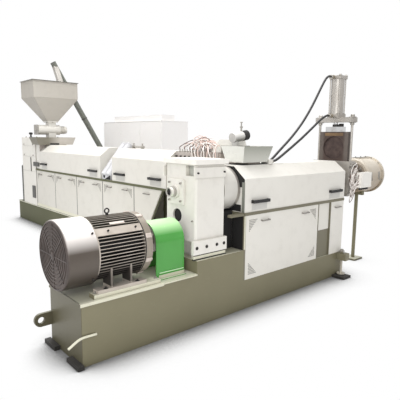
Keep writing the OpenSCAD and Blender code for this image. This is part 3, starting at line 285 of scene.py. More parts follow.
def stepped_foot(name):
    """Rubber pad, pale steel disc and screw, and an enamelled bracket, by height."""
    f = Finish(name)
    z = f.along("Z")
    cloud = f.steps(f.noise(12.0, 4.0), 0.35, 0.75)
    bracket = f.between(z, 0.188, 0.191)
    rubber = 1 - f.between(z, 0.0302, 0.0312)
    coat = f.blend(cloud, (196, 190, 176), (170, 163, 148))
    coat = f.blend(bracket, coat, f.blend(cloud, (128, 123, 100), (116, 111, 90)))
    coat = f.blend(rubber, coat, f.blend(cloud, (34, 32, 30), (52, 49, 45)))
    return f.close(coat, 0.45 + cloud * 0.15 + rubber * 0.2)


def tray_paint(name):
    """Glossy grey sheet: faces turned to -X painted lighter as lit, and a front painted darker upwards as
    shade.
    """
    f = Finish(name)
    cloud = f.steps(f.noise(3.0, 4.0), 0.35, 0.75)
    z = f.along("Z")
    # Painted shade: the front darkens upwards.
    front = f.blend(f.between(z, 1.34, 1.475), (196, 196, 187), (146, 147, 136))
    # Painted light: faces turned towards -X are lighter.
    coat = f.blend(f.facing("X", -0.5, -0.9), front, (222, 222, 215))
    coat = f.blend(cloud * 0.2, coat, (168, 168, 158))
    return f.close(coat, 0.26 + cloud * 0.1, gloss=0.5)


def left_shaded_tray(name):
    """Grey sheet, darker with painted shade on the side towards -X, where the plastic is fed."""
    f = Finish(name)
    cloud = f.steps(f.noise(7.0, 5.0, 0.6), 0.35, 0.75)
    # Painted shade: darker towards -X.
    dark = 1 - f.between(f.along("X"), -0.14, 0.08)
    coat = f.blend(dark, (196, 190, 181), (118, 114, 101))
    return f.close(f.blend(cloud * 0.25, coat, (150, 143, 131)), 0.4 + cloud * 0.1)


def shaded_pipe_paint(name):
    """White paint with painted shade under the belly."""
    f = Finish(name)
    cloud = f.steps(f.noise(8.0, 4.0), 0.35, 0.75)
    # Painted shade: faces turned downwards darken.
    coat = f.blend(f.facing("Z", 0.35, -0.75), (228, 226, 221), (104, 101, 96))
    return f.close(f.blend(cloud * 0.25, coat, (176, 172, 165)), 0.35 + cloud * 0.1)


def stained_hood(name):
    """Beige paint with blotches, browner and darker towards the bottom, and painted shade in the corners."""
    f = Finish(name)
    cloud = f.steps(f.noise(6.0, 5.0, 0.6), 0.35, 0.75)
    corner = f.steps(f.hollow(0.05), 0.25, 0.95)
    low = 1 - f.between(f.along("Z"), 0.90, 1.26)
    coat = f.blend(low, (214, 205, 190), (138, 121, 98))
    coat = f.blend(cloud * 0.35, coat, (176, 161, 138))
    # Painted shade: ambient occlusion darkens corners.
    coat = f.blend(corner * 0.5, coat, (84, 72, 58))
    return f.close(coat, 0.36 + cloud * 0.12)


def bare_steel(name, colour, stain, roughness=0.36, grain=(1, 1, 30), metallic=0.85, stained=0.5):
    """Machined steel: tool lines one way, heat and oil stains, and painted shade in the corners."""
    f = Finish(name)
    lines = f.noise(60.0, 4.0, 0.6, grain)
    patch = f.steps(f.noise(5.0, 5.0, 0.6), 0.38, 0.72)
    corner = f.steps(f.hollow(0.02), 0.3, 0.9)
    coat = f.blend(patch * stained, colour, stain)
    # Painted shade: ambient occlusion darkens corners.
    coat = f.blend(corner * 0.5, coat, (50, 44, 38))
    return f.close(
        coat, roughness + lines * 0.18 + patch * 0.1, metallic,
        normal=f.height(lines, 0.1, 0.0006))


def moulded(name, colour, dust, roughness=0.55, grain=420.0, depth=0.15):
    """Moulded plastic or rubber: fine grain and a little dust."""
    f = Finish(name)
    fine = f.noise(grain, 3.0)
    film = f.steps(f.noise(14.0, 5.0), 0.5, 0.8)
    return f.close(
        f.blend(film * 0.3, colour, dust), roughness + film * 0.12,
        normal=f.height(fine, depth, 0.0006))


def braided_rubber(name):
    """Hose cover with a wrapped-cloth print."""
    f = Finish(name)
    wrap = f.add("TexWave", {"wave_type": "BANDS", "bands_direction": "DIAGONAL"}, {
        "Vector": f.place(), "Scale": 90.0, "Distortion": 0.6, "Detail": 2.0})
    film = f.steps(f.noise(20.0, 4.0), 0.45, 0.8)
    return f.close(
        f.blend(film * 0.4, (30, 29, 29), (64, 61, 58)), 0.5 + film * 0.15,
        normal=f.height(wrap, 0.12, 0.0005))


def scorched_slide(name):
    """Steel browned by heat in the middle, and rubbed grey along both edges."""
    f = Finish(name)
    lines = f.noise(60.0, 4.0, 0.6, (1, 1, 18))
    patch = f.steps(f.noise(7.0, 5.0, 0.6), 0.38, 0.72)
    y = f.along("Y")
    rubbed = f.between(y * y, 0.0140, 0.0220)
    coat = f.blend(patch * 0.8, (80, 66, 60), (58, 46, 43))
    coat = f.blend(rubbed * (0.9 - patch * 0.3), coat, (104, 96, 90))
    return f.close(coat, 0.46 + lines * 0.18, 0.4, normal=f.height(lines, 0.1, 0.0006))


def filter_screen(name):
    """Woven wire cloth caked with burnt plastic."""
    f = Finish(name)
    across = f.add("TexWave", {"bands_direction": "Y"}, {"Vector": f.place(), "Scale": 130.0})
    upward = f.add("TexWave", {"bands_direction": "Z"}, {"Vector": f.place(), "Scale": 130.0})
    weave = across * upward
    cake = f.steps(f.noise(16.0, 5.0), 0.35, 0.7)
    return f.close(
        f.blend(cake, (80, 65, 60), (56, 44, 41)), 0.55 + cake * 0.2, 0.35,
        normal=f.height(weave, 0.4, 0.001))


def shiny_rod(name):
    """Hard chrome with a film of oil."""
    f = Finish(name)
    film = f.steps(f.noise(11.0, 4.0), 0.4, 0.75)
    return f.close(f.blend(film * 0.4, (205, 205, 205), (150, 140, 128)), 0.12 + film * 0.2, 1.0)


def shade_in_holes(name):
    """Painted shade: near black with faint mottling, for the dark of holes, gaps and openings."""
    f = Finish(name)
    film = f.noise(18.0, 4.0)
    return f.close(f.blend(film, (14, 13, 13), (26, 24, 23)), 0.75 + film * 0.1)


white = sprayed_paint("white_coat", (224, 221, 213), (219, 215, 206), (120, 112, 98))
gear_white = sprayed_paint("gearbox_coat", (226, 223, 216), (219, 215, 205), (112, 104, 90), 0.34, 0.45, 0.1)
# A greyer copy of the white paint as painted shade on the hopper, with more painted shade on its faces turned
# to -X.
hopper_white = sprayed_paint(
    "hopper_coat", (184, 179, 170), (175, 169, 159), (106, 98, 85), 0.44, shaded=0.24)
pale_coat = sprayed_paint("cabinet_coat", (238, 236, 234), (233, 230, 227), (186, 183, 177), 0.5, 0.2, 0.1)
# Grey paint, used as painted shade at the back of the gearbox's pocket.
tray_coat = sprayed_paint("tray_coat", (196, 197, 190), (180, 181, 173), (110, 106, 92), 0.26, 0.5)
beige = stained_hood("beige_coat")
tray_grey = tray_paint("feed_tray_coat")
pipe_coat = shaded_pipe_paint("vent_pipe_coat")
first_tray_coat = left_shaded_tray("first_tray_coat")
# A darker copy of the white paint: painted shade on the doors.
door_white = sprayed_paint("door_coat", (208, 205, 196), (203, 199, 189), (112, 105, 92))
cap_white = sprayed_paint("cap_coat", (238, 235, 228), (231, 227, 218), (112, 104, 90), 0.34, 0.45, 0.1)
# A darker, greyer copy of the white paint: painted shade on the vent chute.
chute_white = sprayed_paint("chute_coat", (200, 200, 202), (188, 187, 188), (110, 104, 98), 0.3, 0.5)
first_white = sprayed_paint("first_cover_coat", (216, 213, 205), (211, 207, 198), (116, 108, 95))
drum_coat = sprayed_paint("drum_coat", (206, 203, 196), (198, 194, 185), (104, 97, 85), 0.3, 0.5, 0.1)
# The base's enamel has painted shade on its left end.
olive = thick_enamel(
    "olive_enamel", (128, 123, 99), (120, 115, 92), (158, 152, 128),
    dust=0.8, end_shade=(0.60, -1.869, -1.864), gloss=0.25)
frame_olive = thick_enamel("frame_olive", (116, 111, 92), (108, 104, 86), (144, 138, 118))
first_olive = thick_enamel(
    "first_olive", (102, 103, 82), (94, 95, 75), (136, 134, 111), 0.6, dust=0.25, gloss=0.08)
# Pale paint for shims and strips, also used for painted highlights along edges.
pale_and_highlight = thick_enamel("pale_paint_and_highlights", (222, 220, 200), (210, 207, 186), (176, 170, 148), 0.4, 0.3)
# The guard's green has a painted highlight on its top; the pale green is a painted highlight along its folded
# seam.
green = glossy_enamel("green_enamel", (72, 158, 62), (64, 146, 54), (198, 242, 182))
pale_green = glossy_enamel("green_seam", (196, 232, 184), (178, 220, 164), (214, 240, 204), 0.3)
motor_coat = cast_paint("motor_coat", (206, 195, 186), (186, 174, 163), (60, 52, 46), 0.4, 0.2)
shield_coat = cast_paint("shield_coat", (156, 147, 135), (128, 119, 106), (46, 40, 35), 0.4, 0.2)
motor_fins = finned_casting("motor_fins")
cowl_coat = fan_cowl_paint("cowl_coat")
dusty_mesh = cast_paint("dusty_mesh", (88, 78, 73), (68, 60, 56), (56, 49, 46), 0.65, 0.1)
foot_coat = stepped_foot("foot_coat")
steel = bare_steel("machined_steel", (184, 180, 174), (156, 148, 138))
barrel_steel = bare_steel("heater_steel", (168, 160, 150), (126, 108, 92), 0.42)
pale_steel = bare_steel("pale_heaters", (186, 178, 171), (154, 138, 128), 0.45, metallic=0.3)
handle_steel = bare_steel("handle_steel", (152, 148, 142), (112, 108, 101), 0.34, (6, 6, 6), 0.5)
slide_steel = scorched_slide("browned_steel")
tan_steel = bare_steel("straw_steel", (126, 102, 74), (88, 70, 54), 0.46, (1, 1, 18), 0.35, 0.8)
zinc = bare_steel("zinc_bolts", (176, 172, 165), (112, 106, 98), 0.38, (6, 6, 6), 0.7, 0.7)
dark_bolt = bare_steel("blackened_bolts", (64, 62, 60), (42, 40, 38), 0.46, (6, 6, 6), 0.6, 0.6)
dark_metal = thick_enamel("dark_enamel", (84, 84, 80), (70, 70, 66), (120, 118, 110), 0.45, 0.4)
tube_grey = thick_enamel("tube_enamel", (118, 120, 112), (102, 104, 97), (160, 160, 150), 0.4, 0.3)
spout_grey = thick_enamel("spout_enamel", (170, 166, 159), (140, 135, 127), (196, 192, 186), 0.4, 0.3)
black = moulded("black_nylon", (26, 25, 25), (70, 68, 66))
pad_rubber = moulded("pad_rubber", (36, 35, 34), (84, 80, 74), 0.75, 160.0, 0.3)
hose_rubber = braided_rubber("hose_cover")
screen = filter_screen("wire_cloth")
chrome = shiny_rod("chromed_rod")
# Painted shade for the dark of holes, gaps and openings.
void = shade_in_holes("shade_in_holes")
shade = moulded("hole_shade", (104, 100, 93), (128, 124, 116), 0.7)
fitting = bare_steel("hose_fittings", (150, 140, 120), (104, 94, 76), 0.36, (6, 6, 6), 0.8)
lead_sleeve = moulded("lead_sleeve", (226, 200, 190), (196, 160, 146), 0.5, 300.0)
pale_sleeve = moulded("pale_sleeve", (238, 232, 226), (216, 202, 194), 0.5, 300.0)
grip_grey = sprayed_paint("grip_plate_coat", (198, 196, 190), (186, 183, 176), (110, 104, 92), 0.3)
brown_sleeve = moulded("brown_sleeve", (92, 66, 56), (70, 52, 46), 0.55, 300.0)

looks = {
    "second_base": olive, "second_frame": frame_olive, "second_panels": white, "second_cover": white,
    "second_barrel": barrel_steel, "second_feed_tray": tray_grey, "levelling_feet": foot_coat,
    "lifting_lug": olive, "motor_frame": motor_fins, "motor_fan_cowl": cowl_coat,
    "motor_end_shield": shield_coat, "motor_lifting_eye": dark_bolt, "coupling_guard": green,
    "drive_coupling": steel, "gearbox_housing": gear_white, "gearbox_cap": cap_white,
    "gearbox_pipe_flange": gear_white, "thrust_drum": drum_coat, "changer_body": steel,
    "changer_yoke": steel, "hydraulic_cylinder": steel, "piston_rod": chrome,
    "screen_slide": slide_steel, "die_head": barrel_steel, "junction_box": cap_white,
    "pelletizer_hood": beige, "pelletizer_stand": olive, "first_base": first_olive,
    "first_frame": first_olive, "first_doors": door_white, "far_cover": first_white,
    "near_cover": first_white, "first_barrel": pale_steel, "vent_chute": chute_white,
    "vent_pipe": pipe_coat, "first_die_head": pale_steel, "transfer_chute": white,
    "first_gearbox": white, "drive_guard": dark_metal, "first_feed_tray": first_tray_coat,
    "feeder": gear_white, "hopper": hopper_white, "loader_tube": tube_grey, "loader_spout": spout_grey,
    "loader_bin": white, "cabinet_body": pale_coat, "cabinet_doors": pale_coat, "cover_handles": black,
    "panel_handles": handle_steel, "hose_bulkhead": white, "hose_upper": hose_rubber,
    "hose_lower": hose_rubber,
}
for name, finish in looks.items():
    nodes[name].data.materials.clear()
    nodes[name].data.materials.append(finish)

# Shapes

AHEAD, BACK, UP, DOWN = (1, 0, 0), (-1, 0, 0), (0, 0, 1), (0, 0, -1)
SIDES = (-1, 1)


def basis(axis):
    """A turn that takes +Z to the given direction."""
    return Vector(axis).normalized().to_track_quat("Z", "Y").to_matrix()


def slope(degrees):
    """A direction in the XZ plane, so many degrees above +X."""
    return Vector((math.cos(math.radians(degrees)), 0, math.sin(math.radians(degrees))))


class Stock:
    """Material for one piece: solids are added to it, then it is built as one mesh."""

    def __init__(self):
        self.verts = []
        self.faces = []

    def add(self, verts, faces):
        start = len(self.verts)
        self.verts += [tuple(v) for v in verts]
        self.faces += [tuple(start + i for i in face) for face in faces]
        return self

    def plate(self, low, high, edge=0.002, turn=None, about=(0, 0, 0)):
        """A block with broken edges, turned about a point if wanted."""
        low, high = Vector(low), Vector(high)
        size = high - low
        bm = bmesh.new()
        bmesh.ops.create_cube(bm, size=1.0)
        bmesh.ops.scale(bm, vec=size, verts=bm.verts)
        bmesh.ops.translate(bm, vec=(low + high) / 2, verts=bm.verts)
        edge = min(edge, 0.45 * min(size))
        bmesh.ops.bevel(bm, geom=list(bm.edges), offset=edge, segments=1, affect="EDGES")
        if turn is not None:
            bmesh.ops.rotate(bm, cent=about, matrix=turn, verts=bm.verts)
        bm.verts.index_update()
        self.add([v.co for v in bm.verts], [[v.index for v in face.verts] for face in bm.faces])
        bm.free()
        return self

    def pair(self, letter, inner, outer, along, upward, edge):
        """A plate on each side of the middle, facing X or Y and as far out as inner and outer say."""
        for side in SIDES:
            near, far = sorted((side * inner, side * outer))
            if letter == "X":
                self.plate((near, along[0], upward[0]), (far, along[1], upward[1]), edge)
            else:
                self.plate((along[0], near, upward[0]), (along[1], far, upward[1]), edge)
        return self

    def turned(self, at, axis, profile, sides=24, phase=0.0, loop=False):
        """A turned solid: the profile lists radius and distance along the axis. A loop makes a ring."""
        turn, at = basis(axis), Vector(at)
        rings, verts, faces = [], [], []
        for radius, along in profile:
            if radius == 0:
                rings.append([len(verts)])
                verts.append(at + turn @ Vector((0, 0, along)))
                continue
            rings.append(list(range(len(verts), len(verts) + sides)))
            for k in range(sides):
                a = phase + 2 * math.pi * k / sides
                verts.append(at + turn @ Vector((radius * math.cos(a), radius * math.sin(a), along)))
        for one, two in zip(rings, rings[1:] + (rings[:1] if loop else [])):
            for k in range(sides):
                a, b = one[k % len(one)], one[(k + 1) % len(one)]
                c, d = two[(k + 1) % len(two)], two[k % len(two)]
                faces.append([a] + ([b] if b != a else []) + [c] + ([d] if d != c else []))
        if len(rings[0]) > 1 and not loop:
            faces.append(rings[0][::-1])
        if len(rings[-1]) > 1 and not loop:
            faces.append(rings[-1])
        return self.add(verts, faces)

    def ring(self, at, axis, inner, outer, width, lead, sides):
        """A ring whose outer corners are broken over the length of the lead."""
        profile = [(inner, 0.0), (outer, lead), (outer, width - lead), (inner, width)]
        return self.turned(at, axis, profile, sides, loop=True)

    def bolt(self, at, axis, across=0.024, spin=0.0):
        """A hexagon head on a washer."""
        r = across / math.sqrt(3)
        self.turned(at, axis, [
            (1.06 * across, 0.0), (1.06 * across, 0.1 * across), (0.98 * across, 0.16 * across)], 18)
        return self.turned(at, axis, [
            (r, 0.14 * across), (r, 0.68 * across), (0.86 * r, 0.78 * across), (0.3 * r, 0.78 * across),
            (0.25 * r, 0.72 * across)], 6, spin)

    def bolt_circle(self, middle, facing, radius, count, across, phase=0.0):
        """Bolts round an axis along X, facing ahead or back."""
        for k in range(count):
            a = 2 * math.pi * (k + phase) / count
            at = Vector(middle) + Vector((0, radius * math.cos(a), radius * math.sin(a)))
            self.bolt(at, facing, across, a)
        return self

    def socket_screw(self, at, axis, across=0.02):
        """A cap screw with a round head and a deep socket."""
        r = across / 2
        return self.turned(at, axis, [
            (r, 0.0), (r, 0.8 * across), (0.9 * r, 0.95 * across), (0.55 * r, 0.95 * across),
            (0.5 * r, 0.4 * across)], 16)

    def tube(self, points, radius, sides=10):
        """A round bar along a line of points."""
        points = [Vector(p) for p in points]
        side = None
        verts, faces = [], []
        for i, p in enumerate(points):
            ahead = (points[min(i + 1, len(points) - 1)] - points[max(i - 1, 0)]).normalized()
            if side is None:
                side = ahead.orthogonal().normalized()
            side = (side - ahead * side.dot(ahead)).normalized()
            other = ahead.cross(side)
            for k in range(sides):
                a = 2 * math.pi * k / sides
                verts.append(p + radius * (math.cos(a) * side + math.sin(a) * other))
        for i, k in product(range(len(points) - 1), range(sides)):
            here, there, after = i * sides, (i + 1) * sides, (k + 1) % sides
            faces.append((here + k, here + after, there + after, there + k))
        faces.append(tuple(range(sides))[::-1])
        faces.append(tuple(range(len(verts) - sides, len(verts))))
        return self.add(verts, faces)

    def band(self, outline, along, depth):
        """A closed outline of points carried along a direction."""
        along = Vector(along).normalized() * depth
        n = len(outline)
        verts = [Vector(p) for p in outline] + [Vector(p) + along for p in outline]
        faces = [(k, (k + 1) % n, n + (k + 1) % n, n + k) for k in range(n)]
        faces += [tuple(range(n))[::-1], tuple(range(n, 2 * n))]
        return self.add(verts, faces)

    def build(self, name, finish, slot, smooth=None, body="machine"):
        """The finished piece, smooth across edges flatter than so many degrees."""
        mesh = bpy.data.meshes.new(name)
        mesh.from_pydata(self.verts, [], self.faces)
        bm = bmesh.new()
        bm.from_mesh(mesh)
        bmesh.ops.recalc_face_normals(bm, faces=bm.faces)
        bm.to_mesh(mesh)
        bm.free()
        mesh.materials.append(finish)
        obj = bpy.data.objects.new(name, mesh)
        bpy.context.scene.collection.objects.link(obj)
        if smooth is not None:
            mesh.polygons.foreach_set("use_smooth", [True] * len(mesh.polygons))
            mesh.set_sharp_from_angle(angle=math.radians(smooth))
        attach(obj, body)
        return obj


def rounded(points, steps=4, reach=0.3):
    """The same line with its corners rounded off."""
    points = [Vector(p) for p in points]
    line = [points[0]]
    for before, corner, after in zip(points, points[1:], points[2:]):
        a, b = corner.lerp(before, reach), corner.lerp(after, reach)
        for k in range(steps + 1):
            t = k / steps
            line.append((1 - t) ** 2 * a + 2 * t * (1 - t) * corner + t * t * b)
    return line + [points[-1]]


# The part's main dimensions, in metres

HALF, PANEL_T = 0.25, 0.012
DECK, PLINTH, SILL, RAIL, AXIS = 0.45, 0.555, 0.275, 0.895, 1.10
FRAME_X, FRAME_END = -0.30, 1.35
GEAR_X0, GEAR_D, CAP_Z, PIPE_Y = -0.828, 0.40, 1.335, 0.04
GUARD_X0, GUARD_X1, GUARD_Z = -1.17, -0.915, 0.73
CHANGER_X, STROKE = 1.51, 0.35
FIRST_SILL, FIRST_RAIL = 0.34, 0.99
DOOR_Y, DOOR_PITCH, DOOR_COUNT, DOOR_TOP = 1.61, 0.77, 4, 0.962
NEAR_Y0, NEAR_Y1, FAR_Y0, FAR_Y1 = 0.97, 2.12, 2.43, 4.53
BOX_Y0, BOX_Y1, BOX_TOP = 4.714, 5.334, 1.522
FEED_Y, FEEDER_Z = 4.609, 1.655
CABINET_X, CABINET_Y, CABINET_DOOR = 1.2051, 3.02, 1.90 / 3

# Camera

PIXELS, FOCUS, SENSOR = 400, 432.786, 36.0
yaw, pitch, roll = math.radians(41.526), math.radians(8.19), math.radians(0.644)
forward = Vector((math.sin(yaw) * math.cos(pitch), math.cos(yaw) * math.cos(pitch), -math.sin(pitch)))
level = Vector((math.cos(yaw), -math.sin(yaw), 0.0))
upright = level.cross(forward)
right = level * math.cos(roll) + upright * math.sin(roll)
above = upright * math.cos(roll) - level * math.sin(roll)
lens = bpy.data.cameras.new("camera")
lens.sensor_width = SENSOR
lens.lens = FOCUS / PIXELS * SENSOR
lens.clip_end = 200.0
camera = bpy.data.objects.new("camera", lens)
turn = Matrix((right, above, -forward)).transposed().to_4x4()
camera.matrix_world = Matrix.Translation((-3.095, -2.81, 1.55)) @ turn
bpy.context.scene.collection.objects.link(camera)
bpy.context.scene.camera = camera

# Hydraulic hoses

HOSE_D = 0.025
upper_route = [
    (1.380, 0.000, 2.254), (1.350, 0.000, 2.254), (1.315, -0.002, 2.252), (1.280, -0.005, 2.240),
    (1.245, -0.008, 2.218), (1.205, -0.012, 2.180), (1.160, -0.015, 2.128), (1.110, -0.018, 2.066),
    (1.055, -0.021, 1.996), (0.995, -0.024, 1.922), (0.930, -0.027, 1.848), (0.860, -0.030, 1.774),
    (0.785, -0.033, 1.702), (0.705, -0.036, 1.634), (0.620, -0.039, 1.568), (0.540, -0.042, 1.512),
    (0.465, -0.044, 1.462), (0.400, -0.046, 1.418), (0.345, -0.048, 1.380), (0.300, -0.049, 1.350),
    (0.258, -0.050, 1.328), (0.225, -0.050, 1.328)]
lower_route = [
    (1.380, 0.000, 1.818), (1.350, 0.000, 1.818), (1.305, -0.005, 1.815), (1.260, -0.009, 1.803),
    (1.205, -0.014, 1.782), (1.145, -0.020, 1.754), (1.080, -0.026, 1.720), (1.010, -0.033, 1.682),
    (0.935, -0.040, 1.642), (0.855, -0.048, 1.600), (0.770, -0.056, 1.556), (0.680, -0.064, 1.512),
    (0.590, -0.071, 1.468), (0.505, -0.078, 1.428), (0.430, -0.083, 1.392), (0.365, -0.087, 1.362),
    (0.312, -0.090, 1.340), (0.262, -0.092, 1.328), (0.225, -0.092, 1.328)]


def hose(name, route, node):
    """A rubber hose along its route, with a crimped ferrule at each end."""
    curve = bpy.data.curves.new(name, "CURVE")
    curve.dimensions = "3D"
    curve.bevel_depth = HOSE_D / 2
    curve.bevel_resolution = 4
    curve.use_fill_caps = True
    spline = curve.splines.new("POLY")
    spline.points.add(len(route) - 1)
    for point, place in zip(spline.points, route):
        point.co = (*place, 1.0)
    spline.use_smooth = True
    curve.materials.append(hose_rubber)
    obj = bpy.data.objects.new(name, curve)
    bpy.context.scene.collection.objects.link(obj)
    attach(obj, "machine")
    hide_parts(node)
    ends = Stock()
    for end, inward in ((route[0], route[1]), (route[-1], route[-2])):
        ends.turned(end, Vector(inward) - Vector(end), [
            (0.0135, 0.0), (0.0175, 0.002), (0.0175, 0.008), (0.0150, 0.010), (0.0172, 0.012),
            (0.0172, 0.018), (0.0150, 0.020), (0.0168, 0.022), (0.0168, 0.027), (0.0130, 0.029)], 18)
    ferrules = ends.build(name + "_ferrules", zinc, "machined_steel", 30)


hose("pressure_hose", upper_route, "hose_upper")
hose("return_hose", lower_route, "hose_lower")

# Motor


def round_motor(degrees):
    """The direction out from the motor's axis, so many degrees from +Y towards +Z."""
    return Vector((0, math.cos(math.radians(degrees)), math.sin(math.radians(degrees))))


Stock().turned((COWL_X + 0.0045, 0, MOTOR_Z), AHEAD, [
    (0.0, 0.0), (0.120, 0.0), (0.2280, 0.0006), (0.2285, 0.0016), (0.120, 0.0012), (0.0, 0.0012)], 56
).build("fan_dust_mesh", dusty_mesh, "motor_paint", 30)
Stock().turned((COWL_X + 0.0005, 0, MOTOR_Z), BACK, [
    (0.030, 0.0), (0.030, 0.002), (0.024, 0.005), (0.0, 0.006)], 28
).build("fan_hub_cap", cowl_coat, "motor_paint", 30)

screws = Stock()
for degrees in (40, 140, 220, 320):
    out = round_motor(degrees)
    screws.socket_screw(Vector((MOTOR_X0 - 0.022, 0, MOTOR_Z)) + out * 0.2465, out, 0.014)
for side in SIDES:
    for x in (MOTOR_X0 + 0.060, MOTOR_X1 - 0.060):
        screws.bolt((x, side * 0.214, DECK + 0.054), UP, 0.016)
    out = round_motor(90 - side * 48)
    for x in (MOTOR_X0 + 0.105, MOTOR_X1 - 0.05):
        screws.socket_screw(Vector((x, 0, MOTOR_Z)) + out * 0.2378, out, 0.014)
screws.build("motor_bolts", dark_bolt, "dark_metal", 30)

middle = Vector((MOTOR_X0 + 0.205, 0, MOTOR_Z))
for side, face in zip(SIDES, ("front", "rear")):
    lay = Matrix.Rotation(-side * math.radians(33), 3, "X")
    low, high = Vector((-0.060, -0.011, 0.2372)), Vector((0.060, 0.011, 0.2405))
    Stock().plate(middle + low, middle + high, 0.001, lay, middle).build(
        "motor_blank_plate_" + face, motor_coat, "motor_paint")

lugs = Stock()
middle = Vector((MOTOR_X1, 0, MOTOR_Z))
for k in range(8):
    lay = Matrix.Rotation(math.radians(22.5 + 45 * k), 3, "X")
    low, high = Vector((0.012, -0.017, 0.225)), Vector((0.062, 0.017, 0.2475))
    lugs.plate(middle + low, middle + high, 0.004, lay, middle)
    lugs.bolt(middle + lay @ Vector((0.0618, 0, 0.2355)), AHEAD, 0.013, 0.2 * k)
lugs.build("shield_lugs", motor_coat, "motor_paint", 30)
# A near black ring as painted shade in the gap at the end shield's rim.
Stock().ring((MOTOR_X1 + 0.0005, 0, MOTOR_Z), AHEAD, 0.2375, 0.2390, 0.009, 0.0005, 72).build(
    "shield_gap", void, "dark_metal", 30)

RAIL_ENDS = (-1.7605, -1.2035)
rails = Stock()
rails.pair("Y", 0.1605, 0.2295, RAIL_ENDS, (DECK + 0.0302, DECK + 0.0316), 0.0006)
rails.pair("Y", 0.2302, 0.2315, RAIL_ENDS, (DECK + 0.002, DECK + 0.029), 0.0006)
rails.build("motor_rail_tops", pale_and_highlight, "olive_paint")

# Coupling guard: a folded seam above its shoe, painted pale as a highlight, and a rolled lip at the motor


def arch(radius):
    """The guard's outline at a radius, from foot to foot."""
    turns = [math.pi * k / 24 for k in range(25)]
    bow = [(radius * math.cos(a), GUARD_Z + radius * math.sin(a)) for a in turns]
    return [(radius, DECK + 0.001)] + bow + [(-radius, DECK + 0.001)]


# Painted highlight: a pale green strip along the folded seam.
Stock().pair(
    "Y", 0.161, 0.165, (GUARD_X0 + 0.006, GUARD_X1 - 0.006), (DECK + 0.044, DECK + 0.052), 0.0012
).build("guard_seam", pale_green, "green_paint")
Stock().pair(
    "Y", 0.1602, 0.1628, (GUARD_X0 + 0.001, GUARD_X1 - 0.001), (DECK + 0.0052, DECK + 0.030), 0.0008
).build("guard_shoe", pale_and_highlight, "olive_paint")
Stock().band([(GUARD_X0, y, z) for y, z in arch(0.1625) + arch(0.1550)[::-1]], BACK, 0.024).build(
    "guard_lip", green, "green_paint", 40)

# Gearbox

bolts = Stock()
for side in SIDES:
    for k, x in enumerate((-0.835, -0.728, -0.612, -0.528)):
        bolts.bolt((x, side * (GEAR_D / 2 + 0.028), PLINTH + 0.102), (0, side, 0), 0.014, 0.3 * k)
    for x in (-0.822, -0.528):
        bolts.socket_screw((x, side * (GEAR_D / 2 + 0.014), CAP_Z - 0.066), (0, side, 0), 0.015)
bolts.build("gearbox_bolts", dark_bolt, "dark_metal", 30)

screws = Stock()
for y, z in product((-0.075, 0.075), repeat=2):
    screws.socket_screw((GEAR_X0 - 0.022, PIPE_Y + y, AXIS + z), BACK, 0.017)
screws.socket_screw((GEAR_X0, -0.161, 0.872), BACK, 0.014)
screws.build("gearbox_face_screws", zinc, "machined_steel", 30)

Stock().pair("Y", 0.2005, 0.2205, (-0.862, -0.500), (PLINTH + 0.008, PLINTH + 0.0340), 0.002).build(
    "gearbox_shims", pale_and_highlight, "white_paint")
# Dark strips as painted shadow lines under the foot plate and under the shims.
shim_shadows = Stock()
shim_shadows.pair("Y", 0.2005, 0.2175, (-0.858, -0.502), (PLINTH + 0.0340, PLINTH + 0.0445), 0.001)
shim_shadows.pair("Y", 0.2005, 0.2245, (-0.868, -0.498), (PLINTH + 0.0005, PLINTH + 0.0085), 0.001)
shim_shadows.build("gearbox_shim_shadow_lines", pad_rubber, "black_rubber")

# Near black discs as painted shade in the round port and in the stub pipe's bore.
port_shades = Stock()
port_shades.turned((GEAR_X0 + 0.012, PIPE_Y, 0.895), AHEAD, [
    (0.0, 0.0), (0.040, 0.0), (0.044, 0.004), (0.0576, 0.004), (0.0576, 0.03)], 40)
port_shades.turned((GEAR_X0 - 0.086, PIPE_Y, AXIS), AHEAD, [(0.0, 0.0), (0.0297, 0.0), (0.0297, 0.02)], 32)
port_shades.build("gearbox_port_shade", void, "dark_metal", 30)

rings = Stock()
rings.ring((GEAR_X0 - 0.044, PIPE_Y, AXIS), BACK, 0.0382, 0.046, 0.021, 0.003, 36)
rings.ring((GEAR_X0 - 0.093, PIPE_Y, AXIS), BACK, 0.0302, 0.0385, 0.0022, 0.0, 36)
rings.turned((-0.337, 0, AXIS), AHEAD, [
    (0.1952, 0.0), (0.1965, 0.001), (0.1965, 0.026), (0.1940, 0.0285), (0.1815, 0.0285),
    (0.1815, 0.0150)], 72, loop=True)
rings.build("gearbox_rings", steel, "machined_steel", 30)

Stock().turned((-0.3079, 0, AXIS), AHEAD, [
    (0.0760, 0.0), (0.1755, 0.0), (0.1770, 0.0012), (0.1770, 0.0066), (0.0760, 0.0066)], 48, loop=True
).build("drum_seal", pad_rubber, "black_rubber", 30)

# Open bay between the gearbox and the frame, and the hood's end over it, with near black sheets as painted
# shade in the bay and in the hood's open end

# A near black sheet closes the bay under the drum, as painted shade.
bay = Stock()
bay.plate((-0.4940, -0.100, PLINTH + 0.0005), (-0.3005, 0.100, 0.9030), 0.003)
bay.pair("Y", 0.1005, 0.2365, (-0.3025, -0.3004), (PLINTH + 0.0008, RAIL - 0.030), 0.0006)
bay.build("bay_shade_sheet", void, "dark_metal")
Stock().pair("Y", HALF, HALF + 0.0014, (-0.2995, -0.2808), (PLINTH + 0.006, RAIL - 0.030), 0.0005).build(
    "frame_post_edges", pale_and_highlight, "olive_paint")
Stock().pair("Y", 0.2055, 0.2495, (-0.4700, -0.3003), (RAIL - 0.0270, RAIL - 0.0040), 0.002).build(
    "rail_arms", frame_olive, "olive_paint")
Stock().pair("X", 0.2502, 0.2514, (1.420, 4.682), (FIRST_SILL + 0.0005, FIRST_SILL + 0.0120), 0.0004).build(
    "first_door_gap", dark_metal, "dark_metal")

